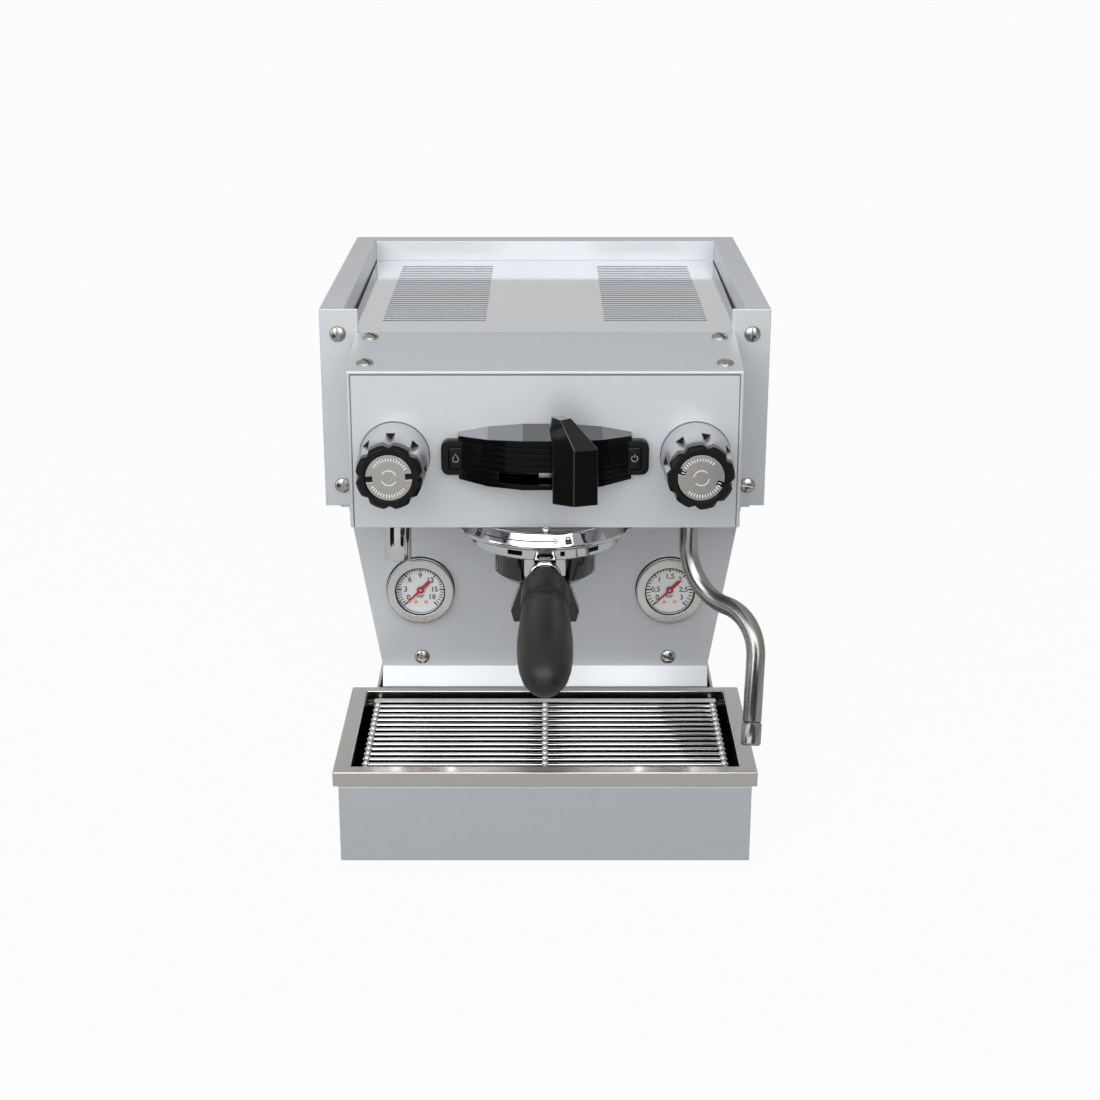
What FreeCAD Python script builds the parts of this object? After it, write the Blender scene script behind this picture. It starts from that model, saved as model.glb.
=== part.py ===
import FreeCAD, Part
import Sketcher
import math
import os
import re

# Compact two-boiler espresso machine, in millimetres.
# +Z is up, -Y is the front, and the origin lies on the worktop under the middle of the whole.

SIZES = {
    # Running and shaft clearances, and the gauge of the body's sheet metal
    "run_gap": 0.3,
    "shaft_gap": 0.05,
    "sheet_thick": 1.5,
    # Body wrap: the folded sheet round the upper half
    "rear_y": 240,
    "wrap_margin": 22.6,
    "wrap_depth": 271,
    "wrap_low": 210,
    "wrap_high": 132,
    "side_flange": 16,
    "rear_flange": 18,
    "front_flange": 25,
    "under_flange": 14,
    # Cup shelf with its vents
    "shelf_drop": 15,
    "shelf_ledge": 8,
    "lip_gap": 0.5,
    "vent_inner": 39,
    "vent_width": 68,
    "vent_front": 33,
    "vent_pitch": 6.9,
    "vent_slot": 2.6,
    "vent_count": 29,
    # Nose over the group
    "nose_width": 244.8,
    "nose_reach": 65,
    "nose_drop": 10.2,
    "nose_lift": 6,
    "cover_thick": 2.4,
    "panel_gap": 0.4,
    # Lower body: shoulder under the wrap, waist over the tray, and base
    "shoulder_in": 9.5,
    "waist_width": 227.2,
    "waist_high": 81,
    "base_width": 261,
    "base_reach": 115,
    "base_high": 60,
    "rear_set": 3,
    "splash_set": 36,
    "apron_run": 6,
    "apron_drop": 13.4,
    "foot_high": 8,
    "foot_radius": 16,
    "foot_set": 34,
    # Slotted round-head screws
    "screw_round": 6.4,
    "screw_dome": 2.4,
    "screw_slot": 1.2,
    "screw_deep": 1.2,
    "wrap_screw_in": 11.7,
    "wrap_screw_up": 14.2,
    "wrap_screw_down": 16.3,
    "cover_screw_in": 10.9,
    "cover_screw_rear": 9,
    "cover_screw_front": 52,
    "splash_screw_up": 7,
    # Pressure gauges
    "gauge_x": 86,
    "gauge_z": 138.4,
    "bezel_radius": 23.1,
    "bezel_proud": 7,
    "bezel_lip": 1.2,
    "case_radius": 20.5,
    "case_deep": 26,
    "glass_radius": 17.2,
    "glass_seat": 0.7,
    "glass_play": 0.15,
    "glass_thick": 1.2,
    "dial_set": 5.5,
    "dial_thick": 1,
    "needle_set": 3.8,
    "needle_thick": 0.6,
    "needle_long": 14.5,
    "needle_tail": 9,
    "needle_hub": 2.6,
    "needle_pin": 1,
    "pin_deep": 6,
    # Brew group and its bayonet ring
    "group_set": 22,
    "bell_radius": 58.2,
    "bell_drop": 0.4,
    "bell_high": 10.9,
    "bell_round": 2.5,
    "ring_radius": 49,
    "ring_high": 9,
    "ring_lip": 2.5,
    "lip_radius": 36.6,
    "lug_radius": 41,
    "lug_width": 20,
    "lug_play": 0.4,
    "unlock_turn": 50,
    "neck_radius": 30,
    "recess_radius": 38.5,
    "recess_high": 5.8,
    "gasket_hole": 29.5,
    "gasket_play": 0.2,
    "screen_radius": 29,
    "screen_thick": 2,
    # Portafilter
    "cup_play": 0.6,
    "cup_sink": 0.8,
    "cup_skirt": 9,
    "cup_deep": 29,
    "cup_low_radius": 31,
    "cup_wall": 2,
    "basket_play": 0.3,
    "basket_wall": 0.9,
    "basket_rim": 1.2,
    "basket_lap": 3,
    "basket_deep": 24,
    "bowl_skin": 2,
    "bowl_floor": 9.2,
    "bowl_base": 17,
    "bowl_cheek": 5.5,
    "bowl_cheek_drop": 4.2,
    "bowl_gap": 15,
    "spout_low": 138.5,
    "spout_bend": 146,
    "spout_half": 6,
    "spout_root_in": 6,
    "spout_root_out": 15.1,
    "spout_bend_in": 12.5,
    "spout_bend_out": 22.5,
    "spout_tip_in": 14,
    "spout_tip_out": 20.5,
    "link_width": 14,
    "link_high": 12,
    "collar_gap": 2,
    "collar_drop": 7.3,
    "collar_radius": 8.6,
    "collar_long": 10,
    "droop": 8.5,
    "handle_long": 127.45,
    "handle_root": 9,
    "shoulder_at": 14,
    "shoulder_radius": 14.7,
    "crease_at": 42,
    "crease_radius": 14.1,
    "swell_at": 84,
    "swell_radius": 16.6,
    # Knobs and valves
    "knob_x": 93.5,
    "knob_z": 263,
    "knob_radius": 22.5,
    "sleeve_long": 40,
    "grip_long": 9,
    "grip_ring": 20.2,
    "grip_chamfer": 2,
    "groove_deep": 4.8,
    "groove_start": 24,
    "groove_count": 8,
    "dent_deep": 2,
    "dent_half": 9.4,
    "disc_radius": 14.2,
    "disc_play": 0.2,
    "disc_thick": 1.6,
    "disc_sink": 2.4,
    "notch_long": 4.2,
    "notch_width": 3.6,
    "stem_radius": 4,
    "stem_deep": 26,
    "valve_radius": 12,
    "valve_long": 45,
    # Paddle, its faceted housing and the buttons
    "paddle_z": 255,
    "arm_thick": 5,
    "arm_width": 8,
    "arm_long": 80,
    "hub_radius": 8,
    "spindle_radius": 4,
    "spindle_deep": 14,
    "paddle_rest": 12.6,
    "paddle_spread": 9.3,
    "paddle_inner": 75.2,
    "paddle_outer": 85.5,
    "paddle_low": 242,
    "paddle_front": 278.5,
    "paddle_tip": 295.5,
    "tip_lean": 5.1,
    "tip_spread": 4.3,
    "tip_inner": 71.8,
    "tip_outer": 76.2,
    "housing_z": 263.5,
    "housing_end": 53.5,
    "housing_mid": 35,
    "housing_face": 13.5,
    "housing_bulge": 24.6,
    "housing_shoulder": 19,
    "housing_step": 6,
    "housing_high": 31,
    "housing_mid_high": 29.6,
    "housing_end_high": 27.5,
    "housing_draft": 4.5,
    "slot_half": 28,
    "slot_play": 1.2,
    "tab_in": 49.5,
    "tab_out": 64.3,
    "tab_high": 22,
    "tab_round": 5,
    "tab_proud": 7.5,
    "button_x": 55.3,
    "button_width": 8.6,
    "button_high": 14,
    "button_proud": 0.6,
    "button_deep": 3.5,
    "button_travel": 1.5,
    # Hot-water spout and steam wand
    "outlet_set": 27,
    "outlet_x": 96,
    "outlet_radius": 9.1,
    "outlet_low": 183,
    "outlet_pipe": 5,
    "outlet_bore": 6.5,
    "wand_radius": 6,
    "wand_bend": 34,
    "wand_drop": 55.9,
    "wand_out": 42.2,
    "wand_fore": 43,
    "wand_knee": 58.9,
    "wand_in": 5.5,
    "wand_reach": 74,
    "wand_tip_z": 82.5,
    "tip_long": 15,
    "tip_wall": 0.4,
    "tip_bore": 2,
    "socket_radius": 11,
    "socket_low": 4,
    "socket_bite": 12,
    # Drip tray, its bowl and grid
    "rim_width": 268,
    "rim_rear": 23,
    "rim_strip": 9.3,
    "rim_side": 10.8,
    "rim_rear_strip": 7,
    "rim_high": 10,
    "rim_skirt": 1.5,
    "flange_thick": 1.7,
    "tub_inset": 2.5,
    "tub_deep": 40,
    "tub_wall": 2,
    "ledge_width": 7,
    "ledge_deep": 12,
    "rod_radius": 1.4,
    "rod_weld": 0.4,
    "rod_count": 14,
    "rod_front": 12.5,
    "rod_half": 117.5,
    "cross_in": 3,
    "cross_end": 1.5,
    "bar_gap": 5,
    "bar_set": 6.62,
    "bar_width": 6,
    # Inside: water tank, pump, boilers, electronics and pipes
    "tank_width": 190,
    "tank_high": 98,
    "tank_gap": 13,
    "tank_set": 8,
    "tank_wall": 2.5,
    "motor_radius": 28,
    "motor_long": 75,
    "pump_radius": 21,
    "pump_long": 55,
    "pump_set": 42,
    "shoe_width": 40,
    "shoe_high": 14,
    "shaft_lift": 2,
    "pump_x": 10,
    "boiler_z": 262,
    "coffee_radius": 36,
    "boiler_gap": 16,
    "steam_radius": 42,
    "steam_long": 170,
    "saddle_width": 30,
    "saddle_high": 26,
    "box_width": 120,
    "box_deep": 30,
    "box_high": 80,
    "box_set": 14,
    "box_gap": 12.5,
    "pipe_radius": 3,
    "pipe_bend": 6,
    "pipe_rise": 8,
    "pipe_in": 15,
    "pipe_gap": 0.2,
    "inlet_x": 85,
    "inlet_z": 40,
    "inlet_width": 48,
    "inlet_high": 28,
    "inlet_deep": 22,
    "inlet_wall": 4,
    "inlet_proud": 2,
}

# Sizes that follow others: the wrap stands out beside the nose, the shoulder stands in from the wrap,
# the steam boiler stands in front of the control box, the coffee boiler reaches from the group towards
# it, the pump's shaft stands off the rear panel, the tank reaches from the backsplash towards that, and
# the grid's rods share the room between the tray's front and the bar at the rear of the grid
FOLLOWING = {
    "wrap_width": "nose_width + 2 * wrap_margin",
    "shoulder_width": "nose_width + 2 * wrap_margin - 2 * shoulder_in",
    "steam_y": "rear_y - sheet_thick - box_set - box_deep - box_gap - steam_radius",
    "coffee_y": "rear_y - wrap_depth - group_set + neck_radius",
    "coffee_long": "steam_y - steam_radius - boiler_gap - coffee_y",
    "shaft_y": "rear_y - rear_set - sheet_thick - pump_set",
    "tank_y": "rear_y - wrap_depth + splash_set + sheet_thick + tank_set",
    "tank_deep": "shaft_y - motor_radius - tank_gap - tank_y",
    "rod_room": "base_reach + rim_rear - rim_rear_strip - bar_set - bar_width - bar_gap - rod_front",
    "rod_pitch": "rod_room / (rod_count - 1)",
}

doc = FreeCAD.newDocument("espresso_machine")
dims = doc.addObject("Spreadsheet::Sheet", "dims")
for row, (alias, number) in enumerate(SIZES.items(), 1):
    cell = "A%d" % row
    dims.set(cell, str(number))
    dims.setAlias(cell, alias)
doc.recompute()
for row, (alias, text) in enumerate(FOLLOWING.items(), 1):
    cell = "B%d" % row
    dims.set(cell, "=" + text)
    dims.setAlias(cell, alias)
doc.recompute()

# Places that several pieces share, as formulas of the sheet's sizes
FRONT = "(rear_y - wrap_depth)"
PANEL = "(rear_y - wrap_depth - nose_reach)"
SPLASH = "(rear_y - wrap_depth + splash_set)"
BASE_FRONT = "(rear_y - wrap_depth - base_reach)"
GROUP_Y = "(rear_y - wrap_depth - group_set)"
WRAP_TOP = "(wrap_low + wrap_high)"
SHELF = "(wrap_low + wrap_high - shelf_drop)"
NOSE_TOP = "(wrap_low + wrap_high - shelf_drop - nose_drop)"
NOSE_LOW = "(wrap_low + nose_lift)"
FLOOR = "(foot_high + sheet_thick)"
BELL_TOP = "(wrap_low + nose_lift - bell_drop)"
RING_TOP = "(wrap_low + nose_lift - bell_drop - bell_high)"
RING_LOW = "(wrap_low + nose_lift - bell_drop - bell_high - ring_high)"
CUP_TOP = RING_TOP + " - cup_sink"
OUTLET_Y = "(rear_y - wrap_depth - outlet_set)"
RIM_LOW = "(base_high + run_gap)"
RIM_TOP = "(base_high + run_gap + rim_high)"
FLANGE_TOP = "(base_high + run_gap + flange_thick)"
RIM_REAR = "(rear_y - wrap_depth + rim_rear)"

TO_FRONT = FreeCAD.Rotation(FreeCAD.Vector(1, 0, 0), 90)
TO_REAR = FreeCAD.Rotation(FreeCAD.Vector(1, 0, 0), -90)
TO_RIGHT = FreeCAD.Rotation(FreeCAD.Vector(0, 1, 0), 90)
SIDES = (("left", -1), ("right", 1))

pieces = []


def size(alias):
    """A size read from the sheet."""
    return float(dims.get(alias))


def formula(text):
    """A formula with each size name pointed at its cell."""
    def point(word):
        name = word.group()
        return "dims." + name if name in SIZES or name in FOLLOWING else name
    return re.sub(r"[a-z_]+", point, text)


def bind(thing, prop, text):
    thing.setExpression(prop, formula(text))


def piece(solid, label):
    """Name a finished sub-part and keep it for writing."""
    solid.Label = label
    pieces.append(solid)
    return solid


def stand(solid, x, y, z, turn=None):
    """Turn a solid, then tie its origin to the sheet."""
    if turn:
        solid.Placement = FreeCAD.Placement(FreeCAD.Vector(), turn)
    for axis, text in zip("xyz", (x, y, z)):
        bind(solid, "Placement.Base." + axis, text)
    return solid


def block(name, x, y, z):
    """A box between a low and a high formula on each axis."""
    solid = doc.addObject("Part::Box", name)
    for prop, (low, high) in zip(("Length", "Width", "Height"), (x, y, z)):
        bind(solid, prop, "(%s) - (%s)" % (high, low))
    return stand(solid, x[0], y[0], z[0])


def both(half):
    """The span from minus to plus one half-width."""
    return "-(%s)" % half, half


def rod(name, radius, length, x, y, z, turn=None):
    """A cylinder that starts at a point and runs up, or the way it is turned."""
    solid = doc.addObject("Part::Cylinder", name)
    bind(solid, "Radius", radius)
    bind(solid, "Height", length)
    return stand(solid, x, y, z, turn)


def join(name, *solids):
    solid = doc.addObject("Part::MultiFuse", name)
    solid.Shapes = list(solids)
    return solid


def group(name, *solids):
    solid = doc.addObject("Part::Compound", name)
    solid.Links = list(solids)
    return solid


def cut(name, base, *tools):
    solid = doc.addObject("Part::Cut", name)
    solid.Base = base
    solid.Tool = tools[0] if len(tools) == 1 else join(name + "_tools", *tools)
    return solid


def outline(body, name, plane, points, offset):
    """A closed sketch of straight edges on a body's own plane, with each corner tied to the sheet."""
    sketch = body.newObject("Sketcher::SketchObject", name)
    support = [p for p in body.Origin.OriginFeatures if p.Role == plane + "_Plane"][0]
    sketch.AttachmentSupport = [(support, "")]
    sketch.MapMode = "FlatFace"
    bind(sketch, "AttachmentOffset.Base.z", offset)
    count = len(points)
    step = 2 * math.pi / count
    start = [FreeCAD.Vector(math.cos(step * k), math.sin(step * k), 0) * 10 for k in range(count)]
    for k in range(count):
        sketch.addGeometry(Part.LineSegment(start[k], start[(k + 1) % count]), False)
    for k in range(count):
        sketch.addConstraint(Sketcher.Constraint("Coincident", k, 2, (k + 1) % count, 1))
    for k, corner in enumerate(points):
        for kind, here, text in zip(("DistanceX", "DistanceY"), (start[k].x, start[k].y), corner):
            index = sketch.addConstraint(Sketcher.Constraint(kind, -1, 1, k, 1, here))
            bind(sketch, "Constraints[%d]" % index, text)
    return sketch


def prism(name, plane, points, low, high):
    """An outline padded from a low to a high place along its plane's axis."""
    body = doc.addObject("PartDesign::Body", name)
    start = "-(%s)" % high if plane == "XZ" else low
    sketch = outline(body, name + "_outline", plane, points, start)
    pad = body.newObject("PartDesign::Pad", name + "_pad")
    pad.Profile = sketch
    bind(pad, "Length", "(%s) - (%s)" % (high, low))
    return body


def turned(name, points, x, y, z, turn=None):
    """A profile of radius and height spun round its axis."""
    body = doc.addObject("PartDesign::Body", name)
    sketch = outline(body, name + "_profile", "XZ", points, "0")
    spin = body.newObject("PartDesign::Revolution", name + "_spin")
    spin.Profile = sketch
    spin.ReferenceAxis = (sketch, ["V_Axis"])
    spin.Angle = 360
    return stand(body, x, y, z, turn)


def lofted(name, plane, sections):
    """Straight-sided skin through outlines at several places along a plane's axis."""
    body = doc.addObject("PartDesign::Body", name)
    sketches = []
    for k, (place, points) in enumerate(sections):
        sketches.append(outline(body, "%s_section_%d" % (name, k), plane, points, place))
    loft = body.newObject("PartDesign::AdditiveLoft", name + "_skin")
    loft.Profile = sketches[0]
    loft.Sections = sketches[1:]
    loft.Ruled = True
    return body


def tube_along(corners, radius, bend):
    """A round bar along straight runs joined by tangent arcs."""
    edges = []
    here = corners[0]
    for before, corner, after in zip(corners, corners[1:], corners[2:]):
        back = (before - corner).normalize()
        ahead = (after - corner).normalize()
        half = back.getAngle(ahead) / 2
        reach = bend / math.tan(half)
        start = corner + back * reach
        end = corner + ahead * reach
        middle = (back + ahead).normalize()
        crown = corner + middle * (bend / math.sin(half) - bend)
        edges.append(Part.LineSegment(here, start).toShape())
        edges.append(Part.Arc(start, crown, end).toShape())
        here = end
    edges.append(Part.LineSegment(here, corners[-1]).toShape())
    path = Part.Wire(edges)
    circle = Part.Wire(Part.Circle(corners[0], corners[1] - corners[0], radius).toShape())
    return path.makePipeShell([circle], True, False)


def formed(name, shape):
    """A sub-part whose shape is swept or spun from sheet sizes here."""
    solid = doc.addObject("Part::Feature", name)
    solid.Shape = shape
    solid.Placement = FreeCAD.Placement()
    return solid


def screw(name, x, y, z, turn, twist=0):
    """Domed screw head with a driver slot, seated on a face."""
    sphere = doc.addObject("Part::Sphere", name + "_dome")
    bind(sphere, "Radius", "screw_round")
    bind(sphere, "Angle1", "asin(1 - screw_dome / screw_round)")
    bind(sphere, "Placement.Base.z", "screw_dome - screw_round")
    slot = block(name + "_slot", both("screw_round"), both("screw_slot / 2"),
                 ("screw_dome - screw_deep", "screw_dome * 2"))
    head = cut(name, sphere, slot)
    spin = FreeCAD.Rotation(FreeCAD.Vector(0, 0, 1), twist)
    return stand(head, x, y, z, turn.multiply(spin))


def base_pieces():
    """Floor pan with the tray bay's side walls, on four rubber feet."""
    half = "base_width / 2"
    bay_front = BASE_FRONT + " + sheet_thick + run_gap"
    floor = block("pan_floor", both(half), (bay_front, "rear_y - rear_set"), ("foot_high", FLOOR))
    walls = []
    for name, side in SIDES:
        span = (half + " - sheet_thick", half) if side > 0 else ("-" + half, "sheet_thick - " + half)
        walls.append(block(name + "_bay_wall", span, (bay_front, SPLASH), (FLOOR, "base_high")))
    piece(join("pan", floor, *walls), "base_pan")
    feet = []
    for name, side in SIDES:
        x = "%d * (base_width / 2 - foot_set)" % side
        for end, y in (("front", BASE_FRONT + " + foot_set"), ("rear", "rear_y - rear_set - foot_set")):
            feet.append(rod("%s_%s_foot" % (name, end), "foot_radius", "foot_high", x, y, "0"))
    piece(group("foot_set_of_four", *feet), "feet")


def lower_body_pieces():
    """Waisted side panels, rear panel, backsplash with its apron, and the deck that they carry."""
    top = "wrap_low - sheet_thick"
    behind = SPLASH + " + sheet_thick"
    for name, side in SIDES:
        def across(text):
            return text if side > 0 else "-(%s)" % text
        points = [(across("base_width / 2"), FLOOR), (across("waist_width / 2"), "waist_high"),
                  (across("shoulder_width / 2"), top),
                  (across("shoulder_width / 2 - sheet_thick"), top),
                  (across("waist_width / 2 - sheet_thick"), "waist_high"),
                  (across("base_width / 2 - sheet_thick"), FLOOR)]
        piece(prism(name + "_panel", "XZ", points, behind, "rear_y - rear_set"), name + "_side_panel")
    inside = []
    for side, levels in ((1, (0, 1, 2)), (-1, (2, 1, 0))):
        for level in levels:
            width = ("base_width", "waist_width", "shoulder_width")[level]
            height = (FLOOR, "waist_high", top)[level]
            inside.append(("%d * (%s / 2 - sheet_thick)" % (side, width), height))
    rear = prism("rear_sheet", "XZ", inside, "rear_y - rear_set - sheet_thick", "rear_y - rear_set")
    port = block("inlet_port", ("inlet_x - inlet_width / 2", "inlet_x + inlet_width / 2"),
                 ("rear_y - rear_set - sheet_thick * 2", "rear_y"),
                 ("inlet_z - inlet_high / 2", "inlet_z + inlet_high / 2"))
    piece(cut("rear_sheet_with_port", rear, port), "rear_panel")
    face = prism("splash_face", "XZ",
                 [("waist_width / 2", "waist_high"), ("shoulder_width / 2", top),
                  ("-shoulder_width / 2", top), ("-waist_width / 2", "waist_high")], SPLASH, behind)
    apron = prism("splash_apron", "YZ",
                  [(SPLASH, "waist_high"), (behind, "waist_high"),
                   (behind + " - apron_run", "waist_high - apron_drop"),
                   (SPLASH + " - apron_run", "waist_high - apron_drop")],
                  "-waist_width / 2", "waist_width / 2")
    holes = []
    for name, side in SIDES:
        holes.append(rod(name + "_gauge_hole", "case_radius + panel_gap", "sheet_thick * 3",
                         "%d * gauge_x" % side, SPLASH + " - sheet_thick", "gauge_z", TO_REAR))
    holes.append(rod("splash_group_hole", "bell_radius + panel_gap", "bell_high * 2", "0", GROUP_Y,
                     RING_TOP + " - panel_gap"))
    piece(cut("splash_with_holes", join("splash_sheet", face, apron), *holes), "backsplash_panel")
    heads = [screw("splash_screw_" + name, "%d * gauge_x" % side, SPLASH, "waist_high + splash_screw_up",
                   TO_FRONT, 90 if side < 0 else -35) for name, side in SIDES]
    piece(group("splash_screw_set", *heads), "backsplash_screws")
    deck = block("deck_sheet", both("shoulder_width / 2"),
                 (FRONT + " + sheet_thick", "rear_y - sheet_thick"), (top, "wrap_low"))
    hole = rod("deck_group_hole", "bell_radius + 1", "sheet_thick * 3", "0", GROUP_Y,
               "wrap_low - sheet_thick * 2")
    piece(cut("deck_with_hole", deck, hole), "frame_plate")


def wrap_pieces():
    """Folded body wrap with flanges all round and lips that fold in under the cup shelf."""
    half = "wrap_width / 2"
    outer = block("wrap_outer", both(half), (FRONT, "rear_y"), ("wrap_low", WRAP_TOP))
    hollow = block("wrap_hollow", both(half + " - sheet_thick"),
                   (FRONT + " + sheet_thick", "rear_y - sheet_thick"),
                   ("wrap_low + sheet_thick", WRAP_TOP + " - sheet_thick"))
    above = block("wrap_top_opening", both(half + " - side_flange"),
                  (FRONT + " + sheet_thick", "rear_y - rear_flange"),
                  (WRAP_TOP + " - sheet_thick * 2", WRAP_TOP + " + sheet_thick"))
    front = block("wrap_front_opening", both(half + " - front_flange"),
                  (FRONT + " - sheet_thick", FRONT + " + sheet_thick * 2"),
                  ("wrap_low - sheet_thick", WRAP_TOP + " + sheet_thick"))
    under = block("wrap_under_opening", both(half + " - under_flange"),
                  (FRONT + " + sheet_thick", "rear_y - under_flange"),
                  ("wrap_low - sheet_thick", "wrap_low + sheet_thick * 2"))
    folded = cut("wrap_folded", outer, hollow, above, front, under)
    lips = []
    rear_edge = "rear_y - rear_flange"
    side_edge = half + " - side_flange"
    under_shelf = SHELF + " - sheet_thick * 2"
    for fold, inward, top in (("lip", "0", WRAP_TOP), ("ledge", "shelf_ledge", SHELF + " - sheet_thick")):
        level = (under_shelf, top)
        lips.append(block("wrap_rear_" + fold, both(side_edge + " + sheet_thick"),
                          (rear_edge + " - " + inward, rear_edge + " + sheet_thick"), level))
        for name, side in SIDES:
            near, far = side_edge + " - " + inward, side_edge + " + sheet_thick"
            span = (near, far) if side > 0 else ("-(%s)" % far, "-(%s)" % near)
            lips.append(block("wrap_%s_%s" % (name, fold), span,
                              (FRONT + " + sheet_thick", rear_edge + " + sheet_thick"), level))
    piece(join("wrap", folded, *lips), "body_wrap")
    heads = []
    for name, side in SIDES:
        x = "%d * (wrap_width / 2 - wrap_screw_in)" % side
        for level, z in (("low", "wrap_low + wrap_screw_up"), ("high", WRAP_TOP + " - wrap_screw_down")):
            heads.append(screw("wrap_screw_%s_%s" % (name, level), x, FRONT, z, TO_FRONT, 95))
    piece(group("wrap_screw_set", *heads), "wrap_screws")


def shelf_piece():
    """Cup shelf: a flat plate on the ledges of the wrap's lips, with two blocks of fine vent slots."""
    level = (SHELF + " - sheet_thick", SHELF)
    front = FRONT + " + sheet_thick + lip_gap"
    plate = block("shelf_plate", both("wrap_width / 2 - side_flange - lip_gap"),
                  (front, "rear_y - rear_flange - lip_gap"), level)
    tongue = block("shelf_tongue", both("wrap_width / 2 - front_flange - panel_gap"), (FRONT, front), level)
    slots = []
    for name, side in SIDES:
        near, far = "vent_inner", "vent_inner + vent_width"
        span = (near, far) if side > 0 else ("-(%s)" % far, "-" + near)
        for k in range(int(size("vent_count"))):
            y = FRONT + " + vent_front + %d * vent_pitch" % k
            slots.append(block("%s_vent_%d" % (name, k), span, (y, y + " + vent_slot"),
                               (SHELF + " - sheet_thick * 2", SHELF + " + sheet_thick")))
    piece(cut("shelf", join("shelf_sheet", plate, tongue), group("vent_slots", *slots)), "top_plate")


def nose_pieces():
    """Sloping nose cover, its screws, and the front panel with its folded floor."""
    far = PANEL + " - cover_thick"
    back = FRONT + " + cover_thick"
    shell = prism("nose_shell", "YZ",
                  [(PANEL, NOSE_LOW), (FRONT, NOSE_LOW), (FRONT, SHELF), (PANEL, NOSE_TOP)],
                  "-nose_width / 2", "nose_width / 2")
    slope = "nose_drop / nose_reach * cover_thick"
    hollow = prism("nose_hollow", "YZ",
                   [(far, NOSE_LOW + " - cover_thick"), (back, NOSE_LOW + " - cover_thick"),
                    (back, SHELF + " - cover_thick + " + slope),
                    (far, NOSE_TOP + " - cover_thick - " + slope)],
                   "cover_thick - nose_width / 2", "nose_width / 2 - cover_thick")
    piece(cut("nose", shell, hollow), "nose_cover")
    tilt = math.degrees(math.atan(size("nose_drop") / size("nose_reach")))
    upright = FreeCAD.Rotation(FreeCAD.Vector(1, 0, 0), tilt)
    heads = []
    for name, side in SIDES:
        x = "%d * (nose_width / 2 - cover_screw_in)" % side
        for end, back_by, twist in (("rear", "cover_screw_rear", 20 * side),
                                    ("front", "cover_screw_front", 35)):
            z = SHELF + " - nose_drop / nose_reach * " + back_by
            heads.append(screw("cover_screw_%s_%s" % (name, end), x, "%s - %s" % (FRONT, back_by), z,
                               FreeCAD.Rotation(upright), twist))
    piece(group("cover_screw_set", *heads), "cover_screws")
    half = "nose_width / 2 - cover_thick - panel_gap"
    face = block("panel_face", both(half), (PANEL, PANEL + " + sheet_thick"),
                 (NOSE_LOW, NOSE_TOP + " - cover_thick - panel_gap"))
    floor = block("panel_floor", both(half), (PANEL, FRONT), (NOSE_LOW, NOSE_LOW + " + sheet_thick"))
    holes = [block("panel_arm_window", both("slot_half + slot_play"),
                   (PANEL + " - sheet_thick", PANEL + " + sheet_thick * 2"),
                   ("paddle_z - arm_thick / 2 - slot_play", "paddle_z + arm_thick / 2 + slot_play")),
             rod("panel_group_hole", "neck_radius + lug_play", "sheet_thick * 3", "0", GROUP_Y,
                 NOSE_LOW + " - sheet_thick"),
             rod("panel_outlet_hole", "outlet_pipe + panel_gap", "sheet_thick * 3", "-outlet_x", OUTLET_Y,
                 NOSE_LOW + " - sheet_thick"),
             rod("panel_wand_hole", "socket_radius + panel_gap", "sheet_thick * 3", "knob_x", OUTLET_Y,
                 NOSE_LOW + " - sheet_thick")]
    for name, side in SIDES:
        holes.append(rod(name + "_stem_hole", "stem_radius + panel_gap", "sheet_thick * 3",
                         "%d * knob_x" % side, PANEL + " - sheet_thick", "knob_z", TO_REAR))
    piece(cut("panel", join("panel_sheet", face, floor), *holes), "front_panel")


def gauge_pieces(name, side):
    """Pressure gauge: bezel and case in one, printed dial, glass and a needle on a pin."""
    x = "%d * gauge_x" % side
    front = SPLASH + " - bezel_proud"
    seat = "glass_radius + glass_seat"
    pin_hole = "needle_pin + shaft_gap"
    # Heights run back from the bezel's front, so they are negative along an axis turned to the front.
    shell = [("glass_radius", "0"), ("bezel_radius", "0"), ("bezel_radius", "-bezel_proud"),
             ("case_radius", "-bezel_proud"), ("case_radius", "-bezel_proud - case_deep"),
             ("0", "-bezel_proud - case_deep"), ("0", "-dial_set - dial_thick - pin_deep"),
             (pin_hole, "-dial_set - dial_thick - pin_deep"), (pin_hole, "-dial_set - dial_thick"),
             (seat, "-dial_set - dial_thick"), (seat, "-bezel_lip"), ("glass_radius", "-bezel_lip")]
    piece(turned(name + "_case", shell, x, front, "gauge_z", TO_FRONT), name + "_gauge_case")
    edge = seat + " - glass_play"
    face = [(pin_hole, "-dial_set - dial_thick"), (edge, "-dial_set - dial_thick"), (edge, "-dial_set"),
            (pin_hole, "-dial_set")]
    piece(turned(name + "_dial", face, x, front, "gauge_z", TO_FRONT), name + "_gauge_dial")
    piece(rod(name + "_glass", edge, "glass_thick", x, front + " + bezel_lip", "gauge_z", TO_REAR),
          name + "_gauge_lens")
    pointer = block(name + "_pointer", ("-needle_long", "needle_tail"), both("needle_thick"),
                    ("-needle_set - needle_thick", "-needle_set"))
    hub = rod(name + "_hub", "needle_hub", "needle_thick", "0", "0", "-needle_set - needle_thick")
    pin = rod(name + "_pin", "needle_pin", "dial_set + dial_thick + pin_deep - needle_set - run_gap",
              "0", "0", "run_gap - dial_set - dial_thick - pin_deep")
    # At no pressure the needle points down and to the left, at the foot of the scale.
    rest = TO_FRONT.multiply(FreeCAD.Rotation(FreeCAD.Vector(0, 0, 1), 45))
    needle = stand(join(name + "_hand", pointer, hub, pin), x, front, "gauge_z", rest)
    piece(needle, name + "_needle")


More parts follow.
